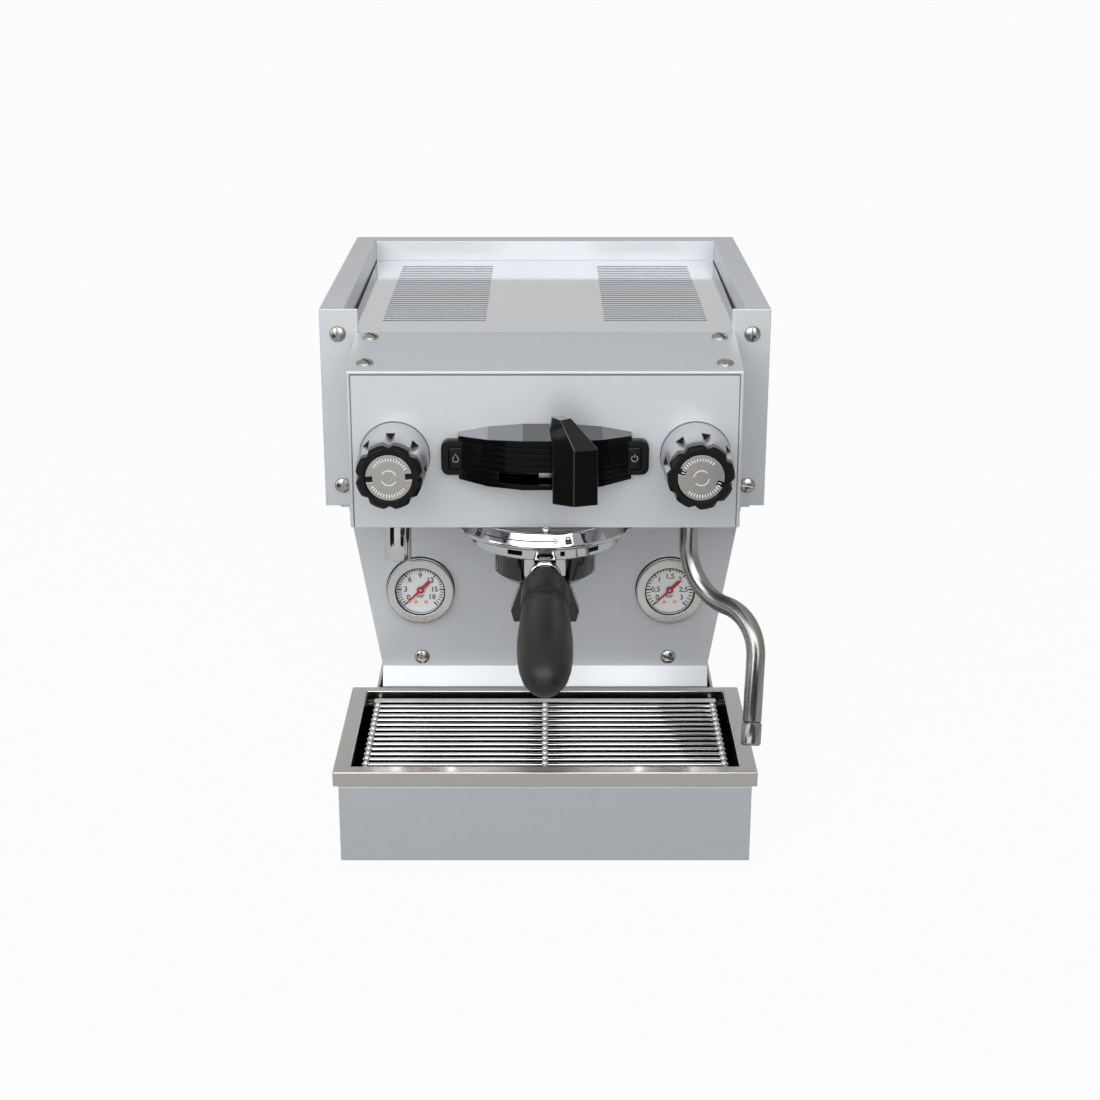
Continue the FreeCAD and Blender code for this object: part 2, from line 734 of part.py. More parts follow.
def group_pieces():
    """Chrome brew group: bell, bayonet ring and neck, with gasket and shower screen under it."""
    top = "paddle_z - arm_thick / 2 - run_gap"
    bore = "spindle_radius + shaft_gap"
    foot = top + " - spindle_deep - run_gap"
    roof = RING_TOP + " + recess_high"
    groove = "lug_radius + lug_play"
    profile = [(bore, top), ("neck_radius", top), ("neck_radius", BELL_TOP),
               ("bell_radius - bell_round", BELL_TOP), ("bell_radius", BELL_TOP + " - bell_round"),
               ("bell_radius", RING_TOP + " + bell_round"), ("bell_radius - bell_round", RING_TOP),
               ("ring_radius", RING_TOP), ("ring_radius", RING_LOW), ("lip_radius", RING_LOW),
               ("lip_radius", RING_LOW + " + ring_lip"), (groove, RING_LOW + " + ring_lip"),
               (groove, RING_TOP), ("recess_radius", RING_TOP), ("recess_radius", roof), ("0", roof),
               ("0", foot), (bore, foot)]
    bell = turned("bell", profile, "0", GROUP_Y, "0")
    entry = block("bayonet_entry", both(groove), both("lug_width / 2 + lug_play"),
                  (RING_LOW + " - ring_lip", RING_LOW + " + ring_lip + lug_play"))
    unlock = FreeCAD.Rotation(FreeCAD.Vector(0, 0, 1), -size("unlock_turn"))
    gates = stand(group("bayonet_gates", entry), "0", GROUP_Y, "0", unlock)
    piece(cut("group_with_gates", bell, gates), "group_head")
    low = CUP_TOP + " + basket_rim + run_gap"
    ring = [("gasket_hole", low), ("recess_radius - gasket_play", low), ("recess_radius - gasket_play", roof),
            ("gasket_hole", roof)]
    piece(turned("gasket", ring, "0", GROUP_Y, "0"), "group_gasket")
    piece(rod("screen", "screen_radius", "screen_thick", "0", GROUP_Y, roof + " - screen_thick"),
          "shower_screen")


def portafilter_pieces():
    """Portafilter: lugged cup with its neck, filter basket, spouted bowl and drooping handle."""
    wide = "lip_radius - cup_play"
    step = CUP_TOP + " - cup_skirt"
    foot = CUP_TOP + " - cup_deep"
    inside = "cup_low_radius - cup_wall"
    cup = turned("cup", [(inside, CUP_TOP), (wide, CUP_TOP), (wide, step), ("cup_low_radius", step),
                         ("cup_low_radius", foot), ("0", foot), ("0", foot + " + cup_wall"),
                         (inside, foot + " + cup_wall")], "0", GROUP_Y, "0")
    lug_low = RING_LOW + " + ring_lip + run_gap"
    lug_bar = block("lug_bar", both("lug_radius"),
                    (GROUP_Y + " - lug_width / 2", GROUP_Y + " + lug_width / 2"), (lug_low, CUP_TOP))
    lug_disc = rod("lug_disc", "lug_radius", "%s - (%s)" % (CUP_TOP, lug_low), "0", GROUP_Y, lug_low)
    lug_round = doc.addObject("Part::Common", "lug_round")
    lug_round.Base = lug_bar
    lug_round.Tool = lug_disc
    lug_core = rod("lug_core", inside, "ring_high * 2", "0", GROUP_Y, RING_LOW)
    lugs = cut("lugs", lug_round, lug_core)
    collar_y = GROUP_Y + " - ring_radius - collar_gap"
    link = block("neck_link", both("link_width / 2"),
                 (collar_y + " - collar_long / 2", GROUP_Y + " - " + inside + " - cup_wall / 2"),
                 (step + " - link_high", step))
    tilt = FreeCAD.Rotation(FreeCAD.Vector(1, 0, 0), 90 + size("droop"))
    collar_z = RING_LOW + " - collar_drop"
    collar = rod("neck_collar", "collar_radius", "collar_long", "0", collar_y, collar_z, tilt)
    piece(join("lugged_cup", cup, lugs, link, collar), "portafilter_body")
    skin = inside + " - basket_play"
    deep = CUP_TOP + " - basket_deep"
    basket = [(skin + " - basket_wall", CUP_TOP + " + basket_rim"),
              (wide + " - basket_lap", CUP_TOP + " + basket_rim"), (wide + " - basket_lap", CUP_TOP),
              (skin, CUP_TOP), (skin, deep), ("0", deep), ("0", deep + " + basket_wall"),
              (skin + " - basket_wall", deep + " + basket_wall")]
    piece(turned("basket", basket, "0", GROUP_Y, "0"), "filter_basket")
    outer = "cup_low_radius + bowl_skin"
    profile = [("0", foot + " - bowl_floor"), ("bowl_base", foot + " - bowl_floor"),
               (outer + " - bowl_cheek", foot + " - bowl_cheek_drop"), (outer, foot), (outer, step),
               ("cup_low_radius", step), ("cup_low_radius", foot), ("0", foot)]
    bowl = turned("spout_bowl", profile, "0", GROUP_Y, "0")
    claws = []
    for name, side in SIDES:
        sections = []
        for z, near, far in ((foot + " - bowl_floor + bowl_skin", "spout_root_in", "spout_root_out"),
                             ("spout_bend", "spout_bend_in", "spout_bend_out"),
                             ("spout_low", "spout_tip_in", "spout_tip_out")):
            corners = []
            for x, way in ((near, -1), (far, -1), (far, 1), (near, 1)):
                corners.append(("%d * %s" % (side, x), GROUP_Y + " + %d * spout_half" % way))
            sections.append((z, corners))
        claws.append(lofted(name + "_claw", "XY", sections[::-1]))
    # The bowl is open at the front, where the neck leaves the cup.
    gap = block("bowl_front_gap", both("bowl_gap"), (collar_y, GROUP_Y + " - bowl_gap"),
                (foot + " + bowl_skin", step + " + link_high"))
    whole = join("bowl_and_claws", bowl, *claws)
    piece(cut("spouted_bowl", whole, gap), "spout_block")
    handle_piece(collar_y + " - collar_long * cos(droop)", collar_z + " - collar_long * sin(droop)", tilt)


def handle_piece(y, z, tilt):
    """Moulded handle: a smooth waisted profile with a domed end, spun round the neck's axis."""
    stations = [("handle_root", 0), ("shoulder_radius", size("shoulder_at")),
                ("crease_radius", size("crease_at")), ("swell_radius", size("swell_at"))]
    along = [FreeCAD.Vector(size(radius), 0, place) for radius, place in stations]
    root = FreeCAD.Vector(0, 0, 0)
    tip = FreeCAD.Vector(0, 0, size("handle_long"))
    curve = Part.BSplineCurve()
    curve.interpolate(Points=along, InitialTangent=FreeCAD.Vector(1, 0, 1).normalize(),
                      FinalTangent=FreeCAD.Vector(0, 0, 1))
    dome = Part.Ellipse(tip, along[-1], FreeCAD.Vector(0, 0, size("swell_at")))
    edges = [curve.toShape(), Part.ArcOfEllipse(dome, 0, math.pi / 2).toShape(),
             Part.LineSegment(tip, root).toShape(), Part.LineSegment(root, along[0]).toShape()]
    solid = Part.Face(Part.Wire(edges)).revolve(root, FreeCAD.Vector(0, 0, 1), 360)
    piece(stand(formed("drooping_handle", solid), "0", y, z, tilt), "portafilter_handle")


def knob_pieces(name, side, groove_turn, disc_turn):
    """Valve knob: grooved chrome sleeve with its stem, black dented grip and a metal disc."""
    x = "%d * knob_x" % side
    back = PANEL + " - run_gap"
    front = back + " - sleeve_long"
    # Each dent is a wide V: its tip, and two ends that lie twice as far out as its edges on the ring.
    dent = [("grip_ring - dent_deep", "0")]
    for sign in (1, -1):
        dent.append(("grip_ring * (2 * cos(dent_half) - 1) + dent_deep",
                     "%d * 2 * grip_ring * sin(dent_half)" % sign))
    dents = []
    grooves = []
    count = int(size("groove_count"))
    for k in range(count):
        angle = 90 + groove_turn + 360 / count * k
        spoke = math.radians(angle)
        inward = FreeCAD.Vector(-math.cos(spoke), 0, -math.sin(spoke))
        ahead = FreeCAD.Vector(0, -1, 0)
        groove = doc.addObject("Part::Prism", "%s_groove_%d" % (name, k))
        groove.Polygon = 3
        bind(groove, "Circumradius", "groove_deep")
        bind(groove, "Height", "sleeve_long + grip_long")
        stand(groove, x + " + knob_radius * cos(%r)" % angle, back + " - groove_start",
              "knob_z + knob_radius * sin(%r)" % angle,
              FreeCAD.Rotation(inward, ahead.cross(inward), ahead, "ZXY"))
        grooves.append(groove)
        corners = [("%s + (%s) * cos(%r) - (%s) * sin(%r)" % (x, out, angle, along, angle),
                    "knob_z + (%s) * sin(%r) + (%s) * cos(%r)" % (out, angle, along, angle))
                   for out, along in dent]
        dents.append(prism("%s_dent_%d" % (name, k), "XZ", corners, front + " - grip_long * 2", front))
    tools = group(name + "_grooves", *grooves)
    barrel = rod(name + "_barrel", "knob_radius", "sleeve_long", x, back, "knob_z", TO_FRONT)
    stem = rod(name + "_stem", "stem_radius", "stem_deep + run_gap", x, back, "knob_z", TO_REAR)
    fluted = cut(name + "_fluted_barrel", barrel, tools)
    piece(join(name + "_sleeve_and_stem", fluted, stem), name + "_knob_sleeve")
    seat = "disc_radius + disc_play"
    ring = turned(name + "_ring", [("0", "0"), ("grip_ring", "0"), ("grip_ring", "grip_long - grip_chamfer"),
                                   ("grip_ring - grip_chamfer", "grip_long"), (seat, "grip_long"),
                                   (seat, "grip_long - disc_sink"), ("0", "grip_long - disc_sink")],
                  x, front, "knob_z", TO_FRONT)
    piece(cut(name + "_ring_cut", ring, group(name + "_dents", *dents)), name + "_knob_grip")
    plate = rod(name + "_plate", "disc_radius", "disc_thick", "0", "0", "0")
    notches = []
    for end, sign in SIDES:
        near, far = "disc_radius - notch_long", "disc_radius + notch_long"
        span = (near, far) if sign > 0 else ("-(%s)" % far, "-(%s)" % near)
        notches.append(block("%s_%s_notch" % (name, end), span, both("notch_width / 2"),
                             ("-disc_thick", "disc_thick * 2")))
    spin = TO_FRONT.multiply(FreeCAD.Rotation(FreeCAD.Vector(0, 0, 1), disc_turn))
    disc = cut(name + "_plate_cut", plate, *notches)
    piece(stand(disc, x, front + " - grip_long + disc_sink", "knob_z", spin), name + "_knob_disc")
    valve = rod(name + "_valve_body", "valve_radius", "valve_long", x, PANEL + " + sheet_thick", "knob_z",
                TO_REAR)
    bore = rod(name + "_valve_bore", "stem_radius + shaft_gap", "stem_deep + run_gap", x, PANEL, "knob_z",
               TO_REAR)
    piece(cut(name + "_valve_bored", valve, bore), name + "_valve")


def paddle_pieces():
    """Brew paddle: spindle and arm through the group's neck, and a faceted black handle."""
    def about_group(radius, angle):
        return "%s * sin(%s)" % (radius, angle), GROUP_Y + " - %s * cos(%s)" % (radius, angle)

    low, high = "paddle_rest - paddle_spread", "paddle_rest + paddle_spread"
    body = [about_group("paddle_inner", low), about_group("paddle_outer", "paddle_rest - 1"),
            about_group("paddle_outer", high), about_group("paddle_inner", high)]
    near, far = "paddle_rest - tip_lean - tip_spread", "paddle_rest - tip_lean + tip_spread"
    tip = [about_group("tip_inner", near), about_group("tip_outer", near),
           about_group("tip_outer", far), about_group("tip_inner", far)]
    handle = lofted("paddle_block", "XY",
                    [("paddle_low", body), ("paddle_front", body), ("paddle_tip", tip)])
    level = ("paddle_z - arm_thick / 2", "paddle_z + arm_thick / 2")
    swing = FreeCAD.Rotation(FreeCAD.Vector(0, 0, 1), size("paddle_rest") - 90)
    bar = block("arm_bar", ("0", "arm_long"), both("arm_width / 2"), level)
    arm = stand(group("arm_swung", bar), "0", GROUP_Y, "0", swing)
    hub = rod("arm_hub", "hub_radius", "arm_thick", "0", GROUP_Y, level[0])
    spindle = rod("arm_spindle", "spindle_radius", "spindle_deep + run_gap + arm_thick", "0", GROUP_Y,
                  level[0] + " - run_gap - spindle_deep")
    piece(join("swinging_arm", arm, hub, spindle), "paddle_arm")
    piece(cut("paddle_grip", handle, arm), "paddle_handle")


def housing_pieces():
    """Faceted paddle housing with a button tab at each end, and the two sprung buttons."""
    sections = []
    for side, steps in ((-1, (2, 1, 0)), (1, (0, 1, 2))):
        for k in steps:
            x = ("housing_face", "housing_mid", "housing_end")[k]
            deep = ("housing_bulge", "housing_shoulder", "housing_step")[k]
            high = ("housing_high", "housing_mid_high", "housing_end_high")[k]
            draft = " + housing_draft * %s / housing_bulge" % deep
            face = PANEL + " - " + deep
            corners = [(PANEL, "housing_z - (%s / 2%s)" % (high, draft)), (face, "housing_z - %s / 2" % high),
                       (face, "housing_z + %s / 2" % high), (PANEL, "housing_z + (%s / 2%s)" % (high, draft))]
            sections.append(("%d * %s" % (side, x), corners))
    facets = lofted("housing_facets", "YZ", sections)
    slot = block("housing_slot", both("slot_half"),
                 (PANEL + " - housing_bulge * 2", PANEL + " + sheet_thick"),
                 ("paddle_z - arm_thick / 2 - slot_play", "paddle_z + arm_thick / 2 + slot_play"))
    solids, pockets = [facets], [slot]
    deep = (PANEL + " - tab_proud", PANEL)
    for name, side in SIDES:
        def span(low, high):
            return (low, high) if side > 0 else ("-(%s)" % high, "-(%s)" % low)
        knee = "tab_out - tab_round"
        solids.append(block(name + "_tab", span("tab_in", knee), deep,
                            ("housing_z - tab_high / 2", "housing_z + tab_high / 2")))
        solids.append(block(name + "_tab_end", span(knee, "tab_out"), deep,
                            ("housing_z - tab_high / 2 + tab_round", "housing_z + tab_high / 2 - tab_round")))
        for end, way in (("low", -1), ("high", 1)):
            solids.append(rod("%s_tab_%s_round" % (name, end), "tab_round", "tab_proud",
                              "%d * (%s)" % (side, knee), PANEL,
                              "housing_z + %d * (tab_high / 2 - tab_round)" % way, TO_FRONT))
        top = PANEL + " - tab_proud - button_proud"
        near, far = "button_x - button_width / 2", "button_x + button_width / 2"
        low, high = "housing_z - button_high / 2", "housing_z + button_high / 2"
        pockets.append(block(name + "_button_pocket", span(near + " - run_gap", far + " + run_gap"),
                             (top + " - housing_bulge", top + " + button_deep + button_travel + run_gap"),
                             (low + " - run_gap", high + " + run_gap")))
        label = "hot_water_button" if side < 0 else "power_button"
        piece(block(label + "_cap", span(near, far), (top, top + " + button_deep"), (low, high)), label)
    piece(cut("housing", join("housing_and_tabs", *solids), *pockets), "paddle_housing")


def outlet_pieces():
    """Hot-water spout under one valve, and the steam wand in its socket under the other."""
    valve_low = "knob_z - valve_radius"
    spout = rod("outlet_body", "outlet_radius", NOSE_LOW + " - outlet_low", "-outlet_x", OUTLET_Y,
                "outlet_low")
    pipe = rod("outlet_riser", "outlet_pipe", "%s - %s" % (valve_low, NOSE_LOW), "-outlet_x", OUTLET_Y,
               NOSE_LOW)
    bore = rod("outlet_mouth", "outlet_bore", "(%s - outlet_low) / 2" % NOSE_LOW, "-outlet_x", OUTLET_Y,
               "outlet_low")
    piece(cut("outlet", join("outlet_solid", spout, pipe), bore), "hot_water_spout")
    low = NOSE_LOW + " - socket_low"
    socket = rod("socket_body", "socket_radius", "%s - (%s)" % (valve_low, low), "knob_x", OUTLET_Y, low)
    bite = rod("socket_bore", "wand_radius + shaft_gap", "socket_bite + run_gap", "knob_x", OUTLET_Y, low)
    piece(cut("socket", socket, bite), "wand_socket")
    x = size("knob_x")
    y = size("rear_y") - size("wrap_depth") - size("outlet_set")
    top = size("wrap_low") + size("nose_lift")
    end = FreeCAD.Vector(x + size("wand_out") - size("wand_in"), y - size("wand_reach"), size("wand_tip_z"))
    knee = FreeCAD.Vector(x + size("wand_out"), y - size("wand_fore"), top - size("wand_knee"))
    down = (end - knee).normalize()
    neck = end - down * size("tip_long")
    route = [FreeCAD.Vector(x, y, top - size("socket_low") + size("socket_bite")),
             FreeCAD.Vector(x, y, top - size("wand_drop")), knee, neck]
    piece(formed("bent_wand", tube_along(route, size("wand_radius"), size("wand_bend"))), "wand_tube")
    nozzle = Part.makeCylinder(size("wand_radius") + size("tip_wall"), size("tip_long"), neck, down)
    hole = Part.makeCylinder(size("tip_bore"), size("tip_long"), end - down * (size("tip_long") / 2), down)
    piece(formed("wand_nozzle", nozzle.cut(hole)), "wand_tip")


def tray_pieces():
    """Drip tray drawer: folded rim, black tub and painted fascia, with the rod grid lying in it."""
    half = "rim_width / 2"
    rim = block("rim_outer", both(half), (BASE_FRONT, RIM_REAR), (RIM_LOW, RIM_TOP))
    inner = (BASE_FRONT + " + rim_strip", RIM_REAR + " - rim_rear_strip")
    hole = block("rim_hole", both(half + " - rim_side"), inner, (RIM_LOW, RIM_TOP + " + rim_high"))
    skirted = (BASE_FRONT + " + rim_skirt", RIM_REAR + " - rim_skirt")
    under = block("rim_under", both(half + " - rim_skirt"), skirted, (RIM_LOW + " - rim_high", FLANGE_TOP))
    piece(cut("rim", rim, hole, under), "tray_rim")
    flange = block("tub_flange", both(half + " - rim_skirt"), skirted, (RIM_LOW, FLANGE_TOP))
    tub_half = "base_width / 2 - sheet_thick - tub_inset"
    tub_front = BASE_FRONT + " + sheet_thick + tub_inset"
    tub_rear = RIM_REAR + " - tub_inset"
    tub = block("tub_outer", both(tub_half), (tub_front, tub_rear), (FLANGE_TOP + " - tub_deep", FLANGE_TOP))
    hollow = block("tub_hollow", both(tub_half + " - tub_wall"),
                   (tub_front + " + tub_wall", tub_rear + " - tub_wall"),
                   (FLANGE_TOP + " - tub_deep + tub_wall", FLANGE_TOP + " + tub_wall"))
    shell = cut("tub_shell", join("tub_and_flange", flange, tub), hollow)
    ledges = []
    for name, y in (("front", (tub_front, tub_front + " + tub_wall + ledge_width")),
                    ("rear", (tub_rear + " - tub_wall - ledge_width", tub_rear))):
        ledges.append(block(name + "_ledge", both(tub_half), y, (FLANGE_TOP + " - ledge_deep", FLANGE_TOP)))
    piece(join("tub", shell, *ledges), "tray_bowl")
    piece(block("fascia_sheet", both("base_width / 2"), (BASE_FRONT, BASE_FRONT + " + sheet_thick"),
                ("foot_high + run_gap", RIM_LOW)), "tray_fascia")
    cross_z = FLANGE_TOP + " + run_gap + rod_radius"
    rods = []
    count = int(size("rod_count"))
    for k in range(count):
        rods.append(rod("grid_rod_%d" % k, "rod_radius", "rod_half * 2", "-rod_half",
                        BASE_FRONT + " + rod_front + %d * rod_pitch" % k,
                        cross_z + " + rod_radius * 2 - rod_weld", TO_RIGHT))
    bar_front = BASE_FRONT + " + rod_front + %d * rod_pitch + bar_gap" % (count - 1)
    rods.append(block("grid_bar", both("rod_half"), (bar_front, bar_front + " + bar_width"),
                      (cross_z + " + rod_radius - rod_weld", cross_z + " + rod_radius * 3 - rod_weld")))
    start = inner[0] + " + cross_end"
    length = "%s - cross_end - (%s)" % (inner[1], start)
    for name, x in (("left", "cross_in - rod_half"), ("middle", "0"), ("right", "rod_half - cross_in")):
        rods.append(rod(name + "_cross_rod", "rod_radius", length, x, start, cross_z, TO_REAR))
    piece(join("welded_grid", *rods), "drip_grid")


def inside_pieces():
    """What the machine works with: tank, pump and motor, boilers on saddles, electronics and pipes."""
    tank = block("tank_outer", both("tank_width / 2"), ("tank_y", "tank_y + tank_deep"),
                 (FLOOR, FLOOR + " + tank_high"))
    room = block("tank_room", both("tank_width / 2 - tank_wall"),
                 ("tank_y + tank_wall", "tank_y + tank_deep - tank_wall"),
                 (FLOOR + " + tank_wall", FLOOR + " + tank_high + tank_wall"))
    piece(cut("open_tank", tank, room), "water_tank")
    shaft_z = FLOOR + " + motor_radius + shaft_lift"
    for name, radius, x, length in (("pump_motor", "motor_radius", "pump_x - motor_long", "motor_long"),
                                    ("pump", "pump_radius", "pump_x", "pump_long")):
        drum = rod(name + "_drum", radius, length, x, "shaft_y", shaft_z, TO_RIGHT)
        shoe = block(name + "_shoe", (x, x + " + " + length),
                     ("shaft_y - shoe_width / 2", "shaft_y + shoe_width / 2"),
                     (FLOOR, FLOOR + " + shoe_high"))
        piece(join(name + "_on_shoe", drum, shoe), name)
    coffee = rod("coffee_drum", "coffee_radius", "coffee_long", "0", "coffee_y", "boiler_z", TO_REAR)
    steam = rod("steam_drum", "steam_radius", "steam_long", "-steam_long / 2", "steam_y", "boiler_z",
                TO_RIGHT)
    piece(coffee, "coffee_boiler")
    piece(steam, "steam_boiler")
    saddles = []
    coffee_mid = "coffee_y + coffee_long / 2"
    deck = ("wrap_low", "wrap_low + saddle_high")
    seat = block("coffee_saddle_blank", both("saddle_width"),
                 (coffee_mid + " - saddle_width / 2", coffee_mid + " + saddle_width / 2"), deck)
    saddles.append(cut("coffee_saddle", seat, coffee))
    for name, side in SIDES:
        middle = "%d * steam_long / 3" % side
        seat = block(name + "_saddle_blank", (middle + " - saddle_width / 2", middle + " + saddle_width / 2"),
                     ("steam_y - saddle_width", "steam_y + saddle_width"), deck)
        saddles.append(cut(name + "_saddle", seat, steam))
    piece(group("saddle_set", *saddles), "boiler_saddles")
    box_rear = "rear_y - sheet_thick - box_set"
    piece(block("electronics", both("box_width / 2"), (box_rear + " - box_deep", box_rear),
                ("wrap_low", "wrap_low + box_high")), "control_box")
    front = size("rear_y") - size("wrap_depth")
    boiler_top = size("boiler_z") + size("steam_radius")
    level = boiler_top + size("pipe_rise")
    valve_y = front - size("nose_reach") + size("sheet_thick") + size("valve_long") / 2
    valve_top = size("knob_z") + size("valve_radius") + size("pipe_gap")
    for name, side in (("hot_water", -1), ("steam", 1)):
        start_x = side * (size("steam_long") / 2 - size("pipe_in"))
        route = [FreeCAD.Vector(start_x, size("steam_y"), boiler_top + size("pipe_gap")),
                 FreeCAD.Vector(start_x, size("steam_y"), level),
                 FreeCAD.Vector(side * size("knob_x"), valve_y, level),
                 FreeCAD.Vector(side * size("knob_x"), valve_y, valve_top)]
        bent = tube_along(route, size("pipe_radius"), size("pipe_bend"))
        piece(formed(name + "_bent_pipe", bent), name + "_pipe")
    rear = "rear_y - rear_set + inlet_proud"
    x = ("inlet_x - inlet_width / 2", "inlet_x + inlet_width / 2")
    z = ("inlet_z - inlet_high / 2", "inlet_z + inlet_high / 2")
    shell = block("inlet_shell", x, (rear + " - inlet_deep", rear), z)
    mouth = block("inlet_mouth", (x[0] + " + inlet_wall", x[1] + " - inlet_wall"),
                  (rear + " - inlet_deep + inlet_wall", rear + " + inlet_wall"),
                  (z[0] + " + inlet_wall", z[1] + " - inlet_wall"))
    piece(cut("inlet", shell, mouth), "power_inlet")


def write_pieces():
    """Check every object, then write each sub-part to its own file."""
    doc.recompute()
    for thing in doc.Objects:
        if "Invalid" in thing.State or "Error" in thing.State:
            raise RuntimeError("%s failed: %s" % (thing.Label, thing.State))
    for solid in pieces:
        if solid.Shape.isNull() or not solid.Shape.isValid():
            raise RuntimeError("%s has no valid shape" % solid.Label)
    os.makedirs("parts", exist_ok=True)
    for solid in pieces:
        solid.Shape.exportStep("parts/%s.step" % solid.Label)


base_pieces()
lower_body_pieces()
wrap_pieces()
shelf_piece()
nose_pieces()
housing_pieces()
paddle_pieces()
knob_pieces("hot_water", -1, 0, 4)
knob_pieces("steam", 1, 11, -18)
gauge_pieces("coffee", -1)
gauge_pieces("steam", 1)
group_pieces()
portafilter_pieces()
outlet_pieces()
tray_pieces()
inside_pieces()
write_pieces()
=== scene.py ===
import math
import bmesh
import bpy
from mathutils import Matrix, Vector


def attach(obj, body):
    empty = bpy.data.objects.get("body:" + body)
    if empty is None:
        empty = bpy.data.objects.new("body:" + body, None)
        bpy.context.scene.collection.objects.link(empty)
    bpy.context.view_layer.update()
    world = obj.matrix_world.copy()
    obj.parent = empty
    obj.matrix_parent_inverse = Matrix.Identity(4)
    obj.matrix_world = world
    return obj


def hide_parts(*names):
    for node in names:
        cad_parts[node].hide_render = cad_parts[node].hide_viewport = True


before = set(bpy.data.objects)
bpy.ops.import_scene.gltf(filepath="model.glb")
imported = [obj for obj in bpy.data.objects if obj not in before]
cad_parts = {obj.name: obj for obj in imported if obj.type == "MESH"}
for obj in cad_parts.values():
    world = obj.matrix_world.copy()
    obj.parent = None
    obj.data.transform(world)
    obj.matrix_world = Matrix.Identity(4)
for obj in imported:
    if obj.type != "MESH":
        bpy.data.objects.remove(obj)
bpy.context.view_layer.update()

# Camera: a long lens at standing height, square on to the front and tipped down on to the machine,
# which stands a little left of the frame's middle.
scene = bpy.context.scene
scene.view_settings.view_transform = "Standard"
lens = bpy.data.cameras.new("studio_camera")
lens.sensor_width = 36.0
lens.lens = 63.46
lens.shift_x = 0.0045
camera = bpy.data.objects.new("studio_camera", lens)
camera.location = (0.0, -1.2554, 0.5967)
tipped_down = math.radians(18.84)
camera.rotation_euler = (math.radians(90.0) - tipped_down, 0.0, 0.0)
scene.collection.objects.link(camera)
scene.camera = camera

# Studio: a wide sheet of pale paper under the machine, wide softboxes up in front of it and behind the
# camera, weak ones overhead and on the left, a grey room, and black cards that only shiny things mirror.
half_sheet = 40
paper_corners = [(a * half_sheet, b * half_sheet, 0) for a, b in ((-1, -1), (1, -1), (1, 1), (-1, 1))]
paper_mesh = bpy.data.meshes.new("paper")
paper_mesh.from_pydata(paper_corners, [], [(0, 1, 2, 3)])
paper = bpy.data.objects.new("paper", paper_mesh)
scene.collection.objects.link(paper)


def blank(owner):
    """The empty node tree of a material or a world."""
    owner.use_nodes = True
    owner.node_tree.nodes.clear()
    return owner.node_tree


def wire(tree, *pairs):
    """Join sockets, each pair given as an output and an input."""
    for start, end in pairs:
        tree.links.new(start, end)


def sum_of(tree, way, first, second):
    """One sum on two values, each a socket or a number."""
    made = tree.nodes.new("ShaderNodeMath")
    made.operation = way
    for k, value in enumerate((first, second)):
        if isinstance(value, float):
            made.inputs[k].default_value = value
        else:
            tree.links.new(value, made.inputs[k])
    return made.outputs[0]


def eased(tree, value, low, high, start, end):
    """A value turned smoothly from one range into another."""
    made = tree.nodes.new("ShaderNodeMapRange")
    made.interpolation_type = "SMOOTHSTEP"
    for slot, number in zip(("From Min", "From Max", "To Min", "To Max"), (low, high, start, end)):
        made.inputs[slot].default_value = number
    tree.links.new(value, made.inputs["Value"])
    return made.outputs["Result"]


white_paper = bpy.data.materials.new("white_paper")
tree = blank(white_paper)
path = tree.nodes.new("ShaderNodeLightPath")
lit = tree.nodes.new("ShaderNodeBsdfDiffuse")
lit.inputs["Color"].default_value = (0.42, 0.42, 0.42, 1.0)
glow = tree.nodes.new("ShaderNodeEmission")
glow.inputs["Strength"].default_value = 1.0
white_to_camera = 0.965
white_in_mirrors = 0.24
mirrored = sum_of(tree, "MAXIMUM", path.outputs["Is Glossy Ray"], path.outputs["Is Transmission Ray"])
shown = sum_of(tree, "MAXIMUM", sum_of(tree, "MULTIPLY", path.outputs["Is Camera Ray"], white_to_camera),
               sum_of(tree, "MULTIPLY", mirrored, white_in_mirrors))
blend = tree.nodes.new("ShaderNodeMixShader")
out = tree.nodes.new("ShaderNodeOutputMaterial")
wire(tree, (shown, blend.inputs[0]), (lit.outputs[0], blend.inputs[1]), (glow.outputs[0], blend.inputs[2]),
     (blend.outputs[0], out.inputs[0]))
paper_mesh.materials.append(white_paper)

room = bpy.data.worlds.new("room")
scene.world = room
tree = blank(room)
towards = tree.nodes.new("ShaderNodeTexCoord")
axes = tree.nodes.new("ShaderNodeSeparateXYZ")
wire(tree, (towards.outputs["Generated"], axes.inputs[0]))
right, rear, up = axes.outputs
rear_wall = eased(tree, rear, 0.8, 0.98, 0.36, 0.60)
left_wall = eased(tree, right, -0.9, 0.5, 0.12, 0.0)
ceiling = eased(tree, up, 0.2, 0.9, 0.0, 0.1)
level = sum_of(tree, "ADD", sum_of(tree, "ADD", rear_wall, left_wall), ceiling)
walls = tree.nodes.new("ShaderNodeBackground")
white = tree.nodes.new("ShaderNodeBackground")
for wall in (walls, white):
    wall.inputs["Color"].default_value = (1.0, 1.0, 1.0, 1.0)
path = tree.nodes.new("ShaderNodeLightPath")
blend = tree.nodes.new("ShaderNodeMixShader")
out = tree.nodes.new("ShaderNodeOutputWorld")
wire(tree, (level, walls.inputs["Strength"]), (path.outputs["Is Camera Ray"], blend.inputs[0]),
     (walls.outputs[0], blend.inputs[1]), (white.outputs[0], blend.inputs[2]),
     (blend.outputs[0], out.inputs[0]))

